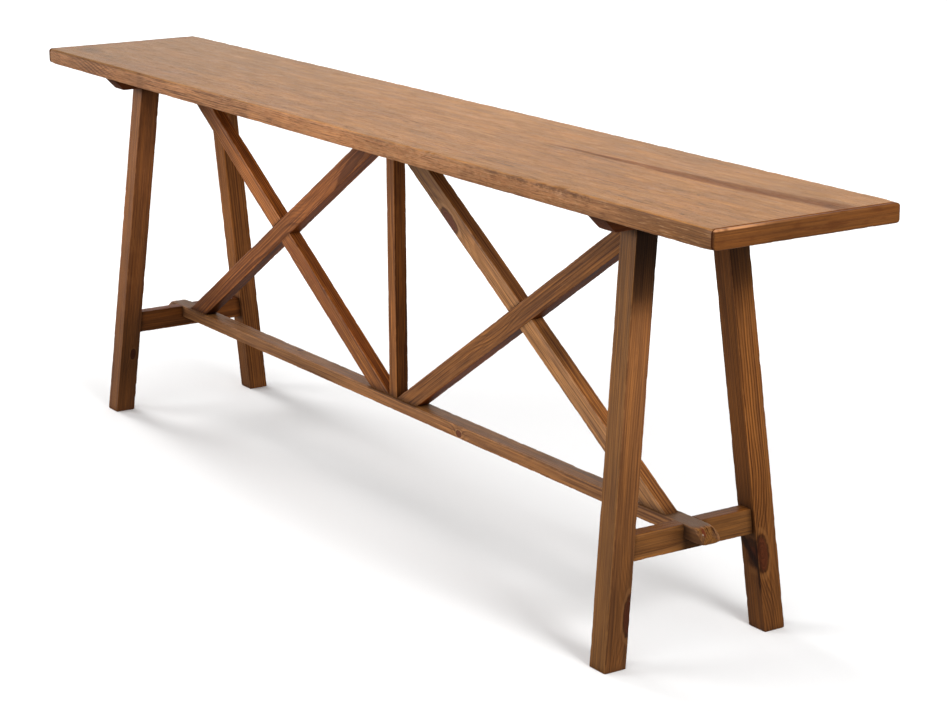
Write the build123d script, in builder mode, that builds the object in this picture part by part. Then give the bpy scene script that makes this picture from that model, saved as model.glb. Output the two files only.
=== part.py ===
from build123d import *
import os
from math import atan2, degrees, sin

# Trestle-legged pine console table.
# Frame: +X along the table's length, +Y towards its back, +Z up, millimetres.
# Origin: on the floor, under the middle of the top.

# ------------------------------------------------------------------
# driving dimensions
# ------------------------------------------------------------------
height = 800.0                 # floor to the upper face of the top

top_length = 2452.0            # over both end lippings
top_depth = 376.0
top_thick = 33.5
lipping_thick = 8.0            # strip glued over each end of the slab
top_corner_r = 5.0             # upright corners of the top, seen from above
top_arris_r = 2.5              # eased arrises of the top

cleat_x = 914.0                # middle of each cleat, from the table's middle
cleat_w = 46.0                 # along X
cleat_h = 25.0
cleat_half = 181.5             # half length where it meets the top
cleat_bevel = 24.5             # 45 degree bevel under each end

leg_x = 45.5                   # leg section, measured level
leg_y = 45.0
leg_head = (913.8, 92.1)       # middle of the leg where it meets the cleat
leg_foot = (945.5, 172.5)      # middle of the leg on the floor

stretcher_top = 226.0          # upper face of all three stretchers
cross_h = 46.5                 # cross stretchers, on edge between two legs
cross_t = 28.5
cross_x = 936.2
tenon_t = 12.0                 # stub tenons of the cross stretchers
tenon_h = 30.0
tenon_reach = 27.0

long_w = 38.5                  # long stretcher, laid flat
long_h = 25.5
long_half_upper = 981.0        # half length on its upper face
long_half_lower = 1001.0       # half length lower down, past the bevel
long_bevel_drop = 15.0

rail_w = 42.0                  # rail under the top, between the cleats
rail_h = 30.0

post_x = 29.2                  # upright in the middle
post_y = 27.6

brace_w = 41.2                 # width of a brace, square to its length
brace_t = 27.2                 # thickness along Y
brace_outer_foot = 855.5       # middle of the cut ends, from the middle
brace_outer_head = 837.5
brace_left_drift = 7.0         # the left rising brace meets the rail this
                               # much further from the post

arris = 1.5                    # eased arrises of the frame's members
leg_arris = 2.0

dowel_d = 10.0
dowel_gap = 0.05               # glue gap round a dowel, on the radius
screw_d = 4.5                  # plain shank of the wood screws
screw_head_d = 9.0
screw_gap = 0.05

# ------------------------------------------------------------------
# derived levels and lines
# ------------------------------------------------------------------
under_top = height - top_thick
leg_top = under_top - cleat_h
rail_under = under_top - rail_h
slab_half = top_length / 2 - lipping_thick
cleat_in = cleat_x - cleat_w / 2
cross_bottom = stretcher_top - cross_h
long_bottom = stretcher_top - long_h

# a brace runs between the stretcher's top and the rail's underside; both
# ends are cut level, and its inner corner stands against the post
brace_rise = rail_under - stretcher_top


def half_cut(run):
    # half of the level cut across a brace that covers this run
    return brace_w / 2 / sin(atan2(brace_rise, run))


foot_run = brace_outer_head - post_x / 2
foot_half = half_cut(foot_run - 38.0)
foot_in = post_x / 2 + foot_half              # rising braces, lower end
foot_half = half_cut(brace_outer_head - foot_in)
foot_in = post_x / 2 + foot_half
head_half = half_cut(brace_outer_foot - foot_in)
head_in = post_x / 2 + head_half              # falling braces, upper end
head_half = half_cut(brace_outer_foot - head_in)
head_in = post_x / 2 + head_half


def brace_outline(x_foot, x_head, half):
    # four corners of a brace in the XZ plane
    return [
        (x_foot - half, stretcher_top),
        (x_foot + half, stretcher_top),
        (x_head + half, rail_under),
        (x_head - half, rail_under),
    ]


# right bay: one brace rises outwards, the other falls outwards
out_rising = brace_outline(foot_in, brace_outer_head, foot_half)
out_falling = brace_outline(brace_outer_foot, head_in, head_half)
# left bay, the mirrored pair
left_falling = [(-x, z) for x, z in out_rising]
left_head_in = head_in + brace_left_drift
left_rising = [
    (-x, z) for x, z in brace_outline(brace_outer_foot, left_head_in, head_half)
]


def crossing(head_of_inner):
    # where the two braces of a bay cross
    k1 = (brace_outer_head - foot_in) / brace_rise
    k2 = (head_of_inner - brace_outer_foot) / brace_rise
    rise = (brace_outer_foot - foot_in) / (k1 - k2)
    return foot_in + k1 * rise, stretcher_top + rise


right_lap = crossing(head_in)
left_lap = crossing(left_head_in)

# slope of a leg towards front and back, level distance per unit of height
leg_dy = (leg_foot[1] - leg_head[1]) / leg_top


def leg_inner(z):
    # distance of a leg's inner face from the middle plane, at height z
    return leg_foot[1] - leg_dy * z - leg_y / 2


# ------------------------------------------------------------------
# fixings: one screw and one dowel of each length, with the tools that
# bore their holes
# ------------------------------------------------------------------
def screw_profile(length, gap):
    # half profile of a countersunk wood screw, head up, tip down, on Z
    r = screw_d / 2 + gap
    h = screw_head_d / 2 + gap
    return [
        (0, 0),
        (h, 0),
        (h, -0.6),
        (r, -0.6 - (h - r)),
        (r, -length + 6.0),
        (0.4 + gap, -length - gap),
        (0, -length - gap),
    ]


def make_screw(length):
    with BuildPart() as screw:
        with BuildSketch(Plane.XZ):
            with BuildLine():
                Polyline(*screw_profile(length, 0.0), close=True)
            make_face()
        revolve(axis=Axis.Z)
        # crossed recess in the head
        with BuildSketch(Plane.XY):
            Rectangle(4.6, 1.1)
            Rectangle(1.1, 4.6)
        extrude(amount=-1.9, mode=Mode.SUBTRACT)
    return screw.part


def make_screw_bore(length, sunk):
    # room for the screw, and a sinking of the head's width above it
    with BuildPart() as bore:
        with BuildSketch(Plane.XZ):
            with BuildLine():
                pts = screw_profile(length, screw_gap)
                pts[0] = (0, sunk)
                pts[1] = (screw_head_d / 2 + screw_gap, sunk)
                Polyline(*pts, close=True)
            make_face()
        revolve(axis=Axis.Z)
    return bore.part


def make_dowel(length):
    with BuildPart() as dowel:
        Cylinder(radius=dowel_d / 2, height=length)
        chamfer(dowel.edges().filter_by(GeomType.CIRCLE), length=1.0)
    return dowel.part


def make_dowel_bore(length):
    with BuildPart() as bore:
        Cylinder(radius=dowel_d / 2 + dowel_gap, height=length)
    return bore.part


leg_screw_l = 75.0
fix_screw_l = 42.0
foot_screw_l = 52.0
head_screw_l = 58.0
lap_screw_l = 23.0
halving_screw_l = 38.0
rail_dowel_l = 44.0
post_dowel_l = 38.0

up = (180.0, 0.0, 0.0)                 # head below, tip above

# leg screws: down through the cleat into the leg's head
leg_screw_at = [
    Location((sx * leg_head[0], sy * (leg_head[1] + dy), under_top - 1.0))
    for sx in (-1, 1) for sy in (-1, 1) for dy in (-11.0, 12.0)
]
# top screws: up through cleats and rail into the slab
cleat_screw_sink = 4.0
rail_screw_sink = 9.0
cleat_screw_at = [
    Location((sx * cleat_x, y, leg_top + cleat_screw_sink), up)
    for sx in (-1, 1) for y in (-136.0, -34.0, 34.0, 136.0)
]
rail_screw_at = [
    Location((x, 0.0, rail_under + rail_screw_sink), up)
    for x in (-640.0, -230.0, 230.0, 640.0)
]
# braces: up through the long stretcher, down through the rail
lean = 18.0
foot_screw_at = [
    Location((x, 0.0, long_bottom + 1.0), up)
    for x in (
        foot_in + lean, -(foot_in + lean),
        brace_outer_foot - lean, -(brace_outer_foot - lean),
    )
]
head_screw_at = [
    Location((x, 0.0, under_top - 1.0))
    for x in (
        head_in + lean, -(left_head_in + lean),
        brace_outer_head - lean, -(brace_outer_head - lean),
    )
]
# halved crossings of the braces: from the back, through the falling brace
lap_screw_at = [
    Location((x, brace_t / 2 - 0.5, z), (-90.0, 0.0, 0.0))
    for x, z in (right_lap, (-left_lap[0], left_lap[1]))
]
# stretchers: up through the cross stretcher into the long one
halving_screw_at = [
    Location((sx * cross_x, 0.0, cross_bottom + 2.0), up) for sx in (-1, 1)
]
# dowels
rail_dowel_at = [
    Location((sx * cleat_in, y, under_top - 12.5), (0.0, 90.0, 0.0))
    for sx in (-1, 1) for y in (-11.0, 11.0)
]
post_dowel_at = [
    Location((0.0, 0.0, stretcher_top)),
    Location((0.0, 0.0, rail_under)),
]

leg_screw = make_screw(leg_screw_l)
leg_bore = make_screw_bore(leg_screw_l, 1.0)
fix_screw = make_screw(fix_screw_l)
cleat_bore = make_screw_bore(fix_screw_l, cleat_screw_sink + 1.0)
rail_bore = make_screw_bore(fix_screw_l, rail_screw_sink + 1.0)
foot_screw = make_screw(foot_screw_l)
foot_bore = make_screw_bore(foot_screw_l, 2.0)
head_screw = make_screw(head_screw_l)
head_bore = make_screw_bore(head_screw_l, 1.0)
lap_screw = make_screw(lap_screw_l)
lap_bore = make_screw_bore(lap_screw_l, 1.5)
halving_screw = make_screw(halving_screw_l)
halving_bore = make_screw_bore(halving_screw_l, 3.0)
rail_dowel = make_dowel(rail_dowel_l)
rail_dowel_bore = make_dowel_bore(rail_dowel_l + 2.0)
post_dowel = make_dowel(post_dowel_l)
post_dowel_bore = make_dowel_bore(post_dowel_l + 2.0)

# ------------------------------------------------------------------
# the top: a slab, and a strip glued over each end grain
# ------------------------------------------------------------------
with BuildPart() as top_slab:
    with BuildSketch(Plane.XY.offset(under_top)):
        Rectangle(2 * slab_half, top_depth)
    extrude(amount=top_thick)
    fillet(top_slab.edges().filter_by(Axis.X), radius=top_arris_r)
    # pilot holes for the screws that come up through cleats and rail
    with Locations(*cleat_screw_at):
        add(cleat_bore, mode=Mode.SUBTRACT)
    with Locations(*rail_screw_at):
        add(rail_bore, mode=Mode.SUBTRACT)

with BuildPart() as end_lipping_right:
    with BuildSketch(Plane.XY.offset(under_top)):
        with Locations((slab_half + lipping_thick / 2, 0)):
            Rectangle(lipping_thick, top_depth)
    extrude(amount=top_thick)
    fillet(
        end_lipping_right.edges().filter_by(Axis.Z).group_by(Axis.X)[-1],
        radius=top_corner_r,
    )
    fillet(
        end_lipping_right.faces().filter_by(Axis.Z).edges()
        .filter_by(lambda e: e.center().X > slab_half + 0.01),
        radius=top_arris_r,
    )

with BuildPart() as end_lipping_left:
    mirror(end_lipping_right.part, about=Plane.YZ)

# ------------------------------------------------------------------
# cleats under the top, and the rail between them
# ------------------------------------------------------------------
with BuildPart() as cleat_right:
    with BuildSketch(Plane.YZ.offset(cleat_in)):
        with BuildLine():
            Polyline(
                (-cleat_half, under_top),
                (-cleat_half + cleat_bevel, leg_top),
                (cleat_half - cleat_bevel, leg_top),
                (cleat_half, under_top),
                close=True,
            )
        make_face()
    extrude(amount=cleat_w)
    fillet(
        cleat_right.edges().filter_by(Axis.Y).group_by(Axis.Z)[0],
        radius=arris,
    )
    with Locations(*leg_screw_at):
        add(leg_bore, mode=Mode.SUBTRACT)
    with Locations(*cleat_screw_at):
        add(cleat_bore, mode=Mode.SUBTRACT)
    with Locations(*rail_dowel_at):
        add(rail_dowel_bore, mode=Mode.SUBTRACT)

with BuildPart() as cleat_left:
    mirror(cleat_right.part, about=Plane.YZ)

with BuildPart() as top_rail:
    with BuildSketch(Plane.XY.offset(rail_under)):
        Rectangle(2 * cleat_in, rail_w)
    extrude(amount=rail_h)
    fillet(
        top_rail.edges().filter_by(Axis.X).group_by(Axis.Z)[0],
        radius=arris,
    )
    with Locations(*rail_screw_at):
        add(rail_bore, mode=Mode.SUBTRACT)
    with Locations(*head_screw_at):
        add(head_bore, mode=Mode.SUBTRACT)
    with Locations(*rail_dowel_at):
        add(rail_dowel_bore, mode=Mode.SUBTRACT)
    with Locations(*post_dowel_at):
        add(post_dowel_bore, mode=Mode.SUBTRACT)

# ------------------------------------------------------------------
# legs: square, splayed to front and back and a little to the ends,
# cut level at floor and cleat, mortised for the cross stretchers
# ------------------------------------------------------------------
rake = Vector(
    leg_head[0] - leg_foot[0], leg_head[1] - leg_foot[1], leg_top
)
tenon_z = (cross_bottom + stretcher_top) / 2
tenon_end = leg_inner(tenon_z) + tenon_reach

with BuildPart() as leg_back_right:
    with BuildSketch(Plane.XY):
        with Locations(leg_foot):
            Rectangle(leg_x, leg_y)
    extrude(amount=rake.length, dir=rake.normalized())
    fillet(
        leg_back_right.edges().filter_by(lambda e: e.length > 300),
        radius=leg_arris,
    )
    chamfer(
        leg_back_right.faces().sort_by(Axis.Z)[0].edges(),
        length=1.2,
    )
    # stopped mortise, a hair longer than the tenon
    with BuildSketch(Plane.XZ):
        with Locations((cross_x, tenon_z)):
            Rectangle(tenon_t + 0.1, tenon_h + 0.1)
    extrude(amount=-(tenon_end + 1.0), mode=Mode.SUBTRACT)
    with Locations(*leg_screw_at):
        add(leg_bore, mode=Mode.SUBTRACT)

with BuildPart() as leg_front_right:
    mirror(leg_back_right.part, about=Plane.XZ)

with BuildPart() as leg_back_left:
    mirror(leg_back_right.part, about=Plane.YZ)

with BuildPart() as leg_front_left:
    mirror(leg_front_right.part, about=Plane.YZ)

# ------------------------------------------------------------------
# stretchers
# ------------------------------------------------------------------
with BuildPart() as cross_stretcher_right:
    with BuildSketch(Plane.YZ.offset(cross_x - cross_t / 2)):
        with BuildLine():
            Polyline(
                (-leg_inner(cross_bottom), cross_bottom),
                (leg_inner(cross_bottom), cross_bottom),
                (leg_inner(stretcher_top), stretcher_top),
                (-leg_inner(stretcher_top), stretcher_top),
                close=True,
            )
        make_face()
    extrude(amount=cross_t)
    fillet(
        cross_stretcher_right.edges().filter_by(Axis.Y),
        radius=arris,
    )
    # stub tenons at both ends
    with BuildSketch(Plane.YZ.offset(cross_x - tenon_t / 2)):
        with Locations((0, tenon_z)):
            Rectangle(2 * tenon_end, tenon_h)
    extrude(amount=tenon_t)
    # housing that takes the long stretcher, flush with the top
    with BuildSketch(Plane.XY.offset(long_bottom)):
        with Locations((cross_x, 0)):
            Rectangle(cross_t + 20, long_w)
    extrude(amount=long_h + 10, mode=Mode.SUBTRACT)
    with Locations(*halving_screw_at):
        add(halving_bore, mode=Mode.SUBTRACT)

with BuildPart() as cross_stretcher_left:
    mirror(cross_stretcher_right.part, about=Plane.YZ)

with BuildPart() as long_stretcher:
    with BuildSketch(Plane.XZ.offset(-long_w / 2)):
        with BuildLine():
            Polyline(
                (-long_half_lower, long_bottom),
                (long_half_lower, long_bottom),
                (long_half_lower, stretcher_top - long_bevel_drop),
                (long_half_upper, stretcher_top),
                (-long_half_upper, stretcher_top),
                (-long_half_lower, stretcher_top - long_bevel_drop),
                close=True,
            )
        make_face()
    extrude(amount=long_w)
    with Locations(*halving_screw_at):
        add(halving_bore, mode=Mode.SUBTRACT)
    with Locations(*foot_screw_at):
        add(foot_bore, mode=Mode.SUBTRACT)
    with Locations(*post_dowel_at):
        add(post_dowel_bore, mode=Mode.SUBTRACT)

# ------------------------------------------------------------------
# post and braces
# ------------------------------------------------------------------
with BuildPart() as center_post:
    with BuildSketch(Plane.XY.offset(stretcher_top)):
        Rectangle(post_x, post_y)
    extrude(amount=brace_rise)
    fillet(center_post.edges().filter_by(Axis.Z), radius=arris)
    with Locations(*post_dowel_at):
        add(post_dowel_bore, mode=Mode.SUBTRACT)

# the rising brace of each bay shows its whole face at the front, and is
# halved at the back; the falling one is halved at the front
with BuildPart() as brace_right_rising:
    with BuildSketch(Plane.XZ):
        with BuildLine():
            Polyline(*out_rising, close=True)
        make_face()
    extrude(amount=brace_t / 2, both=True)
    fillet(
        brace_right_rising.edges().filter_by(lambda e: e.length > 300),
        radius=arris,
    )
    with BuildSketch(Plane.XZ):
        with BuildLine():
            Polyline(*out_falling, close=True)
        make_face()
    extrude(amount=-brace_t, mode=Mode.SUBTRACT)
    with Locations(*foot_screw_at):
        add(foot_bore, mode=Mode.SUBTRACT)
    with Locations(*head_screw_at):
        add(head_bore, mode=Mode.SUBTRACT)
    with Locations(*lap_screw_at):
        add(lap_bore, mode=Mode.SUBTRACT)

with BuildPart() as brace_right_falling:
    with BuildSketch(Plane.XZ):
        with BuildLine():
            Polyline(*out_falling, close=True)
        make_face()
    extrude(amount=brace_t / 2, both=True)
    fillet(
        brace_right_falling.edges().filter_by(lambda e: e.length > 300),
        radius=arris,
    )
    with BuildSketch(Plane.XZ):
        with BuildLine():
            Polyline(*out_rising, close=True)
        make_face()
    extrude(amount=brace_t, mode=Mode.SUBTRACT)
    with Locations(*foot_screw_at):
        add(foot_bore, mode=Mode.SUBTRACT)
    with Locations(*head_screw_at):
        add(head_bore, mode=Mode.SUBTRACT)
    with Locations(*lap_screw_at):
        add(lap_bore, mode=Mode.SUBTRACT)

with BuildPart() as brace_left_rising:
    with BuildSketch(Plane.XZ):
        with BuildLine():
            Polyline(*left_rising, close=True)
        make_face()
    extrude(amount=brace_t / 2, both=True)
    fillet(
        brace_left_rising.edges().filter_by(lambda e: e.length > 300),
        radius=arris,
    )
    with BuildSketch(Plane.XZ):
        with BuildLine():
            Polyline(*left_falling, close=True)
        make_face()
    extrude(amount=-brace_t, mode=Mode.SUBTRACT)
    with Locations(*foot_screw_at):
        add(foot_bore, mode=Mode.SUBTRACT)
    with Locations(*head_screw_at):
        add(head_bore, mode=Mode.SUBTRACT)
    with Locations(*lap_screw_at):
        add(lap_bore, mode=Mode.SUBTRACT)

with BuildPart() as brace_left_falling:
    with BuildSketch(Plane.XZ):
        with BuildLine():
            Polyline(*left_falling, close=True)
        make_face()
    extrude(amount=brace_t / 2, both=True)
    fillet(
        brace_left_falling.edges().filter_by(lambda e: e.length > 300),
        radius=arris,
    )
    with BuildSketch(Plane.XZ):
        with BuildLine():
            Polyline(*left_rising, close=True)
        make_face()
    extrude(amount=brace_t, mode=Mode.SUBTRACT)
    with Locations(*foot_screw_at):
        add(foot_bore, mode=Mode.SUBTRACT)
    with Locations(*head_screw_at):
        add(head_bore, mode=Mode.SUBTRACT)
    with Locations(*lap_screw_at):
        add(lap_bore, mode=Mode.SUBTRACT)

# ------------------------------------------------------------------
# hidden fixings, one node for each kind
# ------------------------------------------------------------------
with BuildPart() as leg_screws:
    with Locations(*leg_screw_at):
        add(leg_screw)

with BuildPart() as cleat_to_top_screws:
    with Locations(*cleat_screw_at):
        add(fix_screw)

with BuildPart() as rail_to_top_screws:
    with Locations(*rail_screw_at):
        add(fix_screw)

with BuildPart() as brace_foot_screws:
    with Locations(*foot_screw_at):
        add(foot_screw)

with BuildPart() as brace_head_screws:
    with Locations(*head_screw_at):
        add(head_screw)

with BuildPart() as brace_lap_screws:
    with Locations(*lap_screw_at):
        add(lap_screw)

with BuildPart() as stretcher_screws:
    with Locations(*halving_screw_at):
        add(halving_screw)

with BuildPart() as rail_end_dowels:
    with Locations(*rail_dowel_at):
        add(rail_dowel)

with BuildPart() as post_dowels:
    with Locations(*post_dowel_at):
        add(post_dowel)

# ------------------------------------------------------------------
# names and files
# ------------------------------------------------------------------
pieces = {
    "top_slab": top_slab,
    "end_lipping_left": end_lipping_left,
    "end_lipping_right": end_lipping_right,
    "cleat_left": cleat_left,
    "cleat_right": cleat_right,
    "top_rail": top_rail,
    "leg_front_left": leg_front_left,
    "leg_front_right": leg_front_right,
    "leg_back_left": leg_back_left,
    "leg_back_right": leg_back_right,
    "cross_stretcher_left": cross_stretcher_left,
    "cross_stretcher_right": cross_stretcher_right,
    "long_stretcher": long_stretcher,
    "center_post": center_post,
    "brace_left_rising": brace_left_rising,
    "brace_left_falling": brace_left_falling,
    "brace_right_rising": brace_right_rising,
    "brace_right_falling": brace_right_falling,
    "leg_screws": leg_screws,
    "cleat_to_top_screws": cleat_to_top_screws,
    "rail_to_top_screws": rail_to_top_screws,
    "brace_foot_screws": brace_foot_screws,
    "brace_head_screws": brace_head_screws,
    "brace_lap_screws": brace_lap_screws,
    "stretcher_screws": stretcher_screws,
    "rail_end_dowels": rail_end_dowels,
    "post_dowels": post_dowels,
}

os.makedirs("parts", exist_ok=True)
for piece_name, piece in pieces.items():
    piece.part.label = piece_name
    export_step(piece.part, "parts/" + piece_name + ".step")

print("brace feet at", round(foot_in, 1), round(brace_outer_foot, 1),
      "heads at", round(head_in, 1), round(brace_outer_head, 1),
      "crossings", [round(v, 1) for v in right_lap + left_lap],
      "rise angle", round(degrees(atan2(brace_rise,
                                        brace_outer_head - foot_in)), 2))
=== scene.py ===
from math import atan2, cos, pi, radians, sin, sqrt

import bmesh
import bpy
import numpy as np
from mathutils import Matrix, Vector


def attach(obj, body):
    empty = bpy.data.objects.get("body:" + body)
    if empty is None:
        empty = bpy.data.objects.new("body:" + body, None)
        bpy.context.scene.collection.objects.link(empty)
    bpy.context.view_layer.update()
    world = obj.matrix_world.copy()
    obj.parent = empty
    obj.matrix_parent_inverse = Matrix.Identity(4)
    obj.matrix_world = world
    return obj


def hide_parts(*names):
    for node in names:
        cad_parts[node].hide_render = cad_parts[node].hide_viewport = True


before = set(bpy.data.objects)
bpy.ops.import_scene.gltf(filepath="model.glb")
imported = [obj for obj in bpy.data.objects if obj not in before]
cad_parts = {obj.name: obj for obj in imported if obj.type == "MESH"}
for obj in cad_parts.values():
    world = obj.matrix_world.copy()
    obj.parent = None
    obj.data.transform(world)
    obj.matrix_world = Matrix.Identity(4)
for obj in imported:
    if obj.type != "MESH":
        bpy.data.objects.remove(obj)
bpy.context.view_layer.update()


# ------------------------------------------------------------------
# the table's own sizes, millimetres (the same as the CAD)
# ------------------------------------------------------------------
HEIGHT, TOP_T, TOP_D, SLAB_HALF, TOP_HALF = 800.0, 33.5, 376.0, 1218.0, 1226.0
LIP = TOP_HALF - SLAB_HALF
UNDER = HEIGHT - TOP_T
CLEAT_X, CLEAT_W, CLEAT_H, CLEAT_HALF, CLEAT_BEVEL = 914.0, 46.0, 25.0, 181.5, 24.5
LEG_TOP = UNDER - CLEAT_H
LEG_X, LEG_Y, HEAD, FOOT = 45.5, 45.0, (913.8, 92.1), (945.5, 172.5)
S_TOP, CROSS_H, CROSS_T, CROSS_X = 226.0, 46.5, 28.5, 936.2
LONG_W, LONG_H, LONG_UP, LONG_LOW, LONG_DROP = 38.5, 25.5, 981.0, 1001.0, 15.0
RAIL_W, RAIL_H = 42.0, 30.0
RAIL_UNDER = UNDER - RAIL_H
POST_X, POST_Y = 29.2, 27.6
BRACE_W, BRACE_T, OUT_FOOT, OUT_HEAD, DRIFT = 41.2, 27.2, 855.5, 837.5, 7.0
CROSS_BOT, LONG_BOT, CLEAT_IN = S_TOP - CROSS_H, S_TOP - LONG_H, CLEAT_X - CLEAT_W / 2
RISE = RAIL_UNDER - S_TOP
LEG_DY = (FOOT[1] - HEAD[1]) / LEG_TOP


def half_cut(run):
    return BRACE_W / 2 / sin(atan2(RISE, run))


_h = half_cut(OUT_HEAD - POST_X / 2 - 38.0)
FOOT_IN = POST_X / 2 + _h
_h = half_cut(OUT_HEAD - FOOT_IN)
FOOT_IN = POST_X / 2 + _h
_h = half_cut(OUT_FOOT - FOOT_IN)
HEAD_IN = POST_X / 2 + _h
_h = half_cut(OUT_FOOT - HEAD_IN)
HEAD_IN = POST_X / 2 + _h


def leg_inner(z):
    return FOOT[1] - LEG_DY * z - LEG_Y / 2


# ------------------------------------------------------------------
# smooth lattice noise for the shapes, 0..1, the same on every run
# ------------------------------------------------------------------
def _hash(ix, iy, iz, seed):
    n = (
        ix.astype(np.uint64) * np.uint64(73856093)
        ^ iy.astype(np.uint64) * np.uint64(19349663)
        ^ iz.astype(np.uint64) * np.uint64(83492791)
        ^ np.uint64(seed * 2654435761 % (1 << 32))
    )
    n ^= n >> np.uint64(13)
    n = (n * np.uint64(1274126177)) & np.uint64(0xFFFFFFFF)
    n ^= n >> np.uint64(16)
    n = (n * np.uint64(2246822519)) & np.uint64(0xFFFFFFFF)
    n ^= n >> np.uint64(15)
    return n.astype(float) / 4294967295.0


def lattice(x, y, z, seed=0):
    x, y, z = (np.asarray(v, float) + 4096.0 for v in np.broadcast_arrays(x, y, z))
    ix, iy, iz = (np.floor(v).astype(np.int64) for v in (x, y, z))
    f = [v - np.floor(v) for v in (x, y, z)]
    u, v, w = (t * t * (3 - 2 * t) for t in f)
    out = 0.0
    for dx in (0, 1):
        for dy in (0, 1):
            for dz in (0, 1):
                out = out + _hash(ix + dx, iy + dy, iz + dz, seed) * (
                    (u if dx else 1 - u) * (v if dy else 1 - v) * (w if dz else 1 - w)
                )
    return out


def octaves(x, y, z, seed=0, n=3):
    total, amp, norm = 0.0, 1.0, 0.0
    for k in range(n):
        total = total + amp * lattice(x * 2**k, y * 2**k, z * 2**k, seed + 17 * k)
        norm += amp
        amp *= 0.5
    return total / norm


def step(lo, hi, x):
    t = np.clip((np.asarray(x, float) - lo) / (hi - lo), 0, 1)
    return t * t * (3 - 2 * t)


# ------------------------------------------------------------------
# a member is rings of points swept along its length
# ------------------------------------------------------------------
def flat_cuts(length, gap, support=1.6):
    # places along one flat of the section, close together by the arrises
    if length < 3 * support:
        return [0.5 * length]
    n = max(1, int(round((length - 2 * support) / gap)))
    inner = np.linspace(support, length - support, n + 1)
    return [0.45] + list(inner) + [length - 0.45]


def section(ha, hb, rads, gap, nominal):
    """Rounded rectangle: points, outward normals and how near each is to an arris.
    nominal gives the radii that fix how many points lie on each flat."""
    pts, nrm, near = [], [], []
    corners = [(1, 1, 0), (-1, 1, 90), (-1, -1, 180), (1, -1, 270)]
    for k, (ca, cb, start) in enumerate(corners):
        r = max(rads[k], 0.05)
        for j in range(5):
            t = radians(start + 22.5 * j)
            pts.append((ca * (ha - r) + r * cos(t), cb * (hb - r) + r * sin(t)))
            nrm.append((cos(t), sin(t)))
            near.append((k, 1.0))
        k2 = (k + 1) % 4
        r2 = max(rads[k2], 0.05)
        full = 2 * (ha if k % 2 == 0 else hb)
        cuts = flat_cuts(full - nominal[k] - nominal[k2], gap)
        real = full - r - r2
        scale = real / (full - nominal[k] - nominal[k2])
        for c in cuts:
            d = r + c * scale
            if k == 0:
                pts.append((ha - d, hb)), nrm.append((0, 1))
            elif k == 1:
                pts.append((-ha, hb - d)), nrm.append((-1, 0))
            elif k == 2:
                pts.append((-ha + d, -hb)), nrm.append((0, -1))
            else:
                pts.append((ha, -hb + d)), nrm.append((1, 0))
            e = min(c, full - nominal[k] - nominal[k2] - c)
            near.append((k if c < full / 2 else k2, max(0.0, 1 - e / 6.0)))
    return (
        np.array(pts),
        np.array(nrm),
        np.array([n[1] for n in near]),
        np.array([n[0] for n in near]),
    )


def stations(keys, gap):
    """Fills in rings between the key rings. A key is (s, kA, kB, inset, half)."""
    rings = [keys[0]]
    for p, q in zip(keys, keys[1:]):
        span = abs(q[0] - p[0])
        n = max(1, int(round(span / gap)))
        if p[4] != q[4] or span < 1e-6:
            rings.append(q)
            continue
        for j in range(1, n + 1):
            t = j / n
            rings.append(tuple(p[i] * (1 - t) + q[i] * t for i in range(4)) + (q[4],))
    return rings


def clip(which, a, b, level=0.0):
    if which == "front":        # front half cut away
        return a, np.maximum(b, level)
    if which == "back":         # back half cut away
        return a, np.minimum(b, level)
    if which == "drop":         # upper part cut away
        return a, np.minimum(b, level)
    return a, b


class Member:
    """One piece of timber: its frame (origin and three axes, mm) and its mesh."""

    def __init__(self, name, origin, L, A, B):
        self.name = name
        self.O = np.array(origin, float)
        self.M = np.array([L, A, B], float).T
        self.inv = np.linalg.inv(self.M)

    def world(self, s, a, b):
        p = np.stack([s, a, b], -1)
        return self.O + p @ self.M.T

    def local(self, p):
        return (p - self.O) @ self.inv.T


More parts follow.
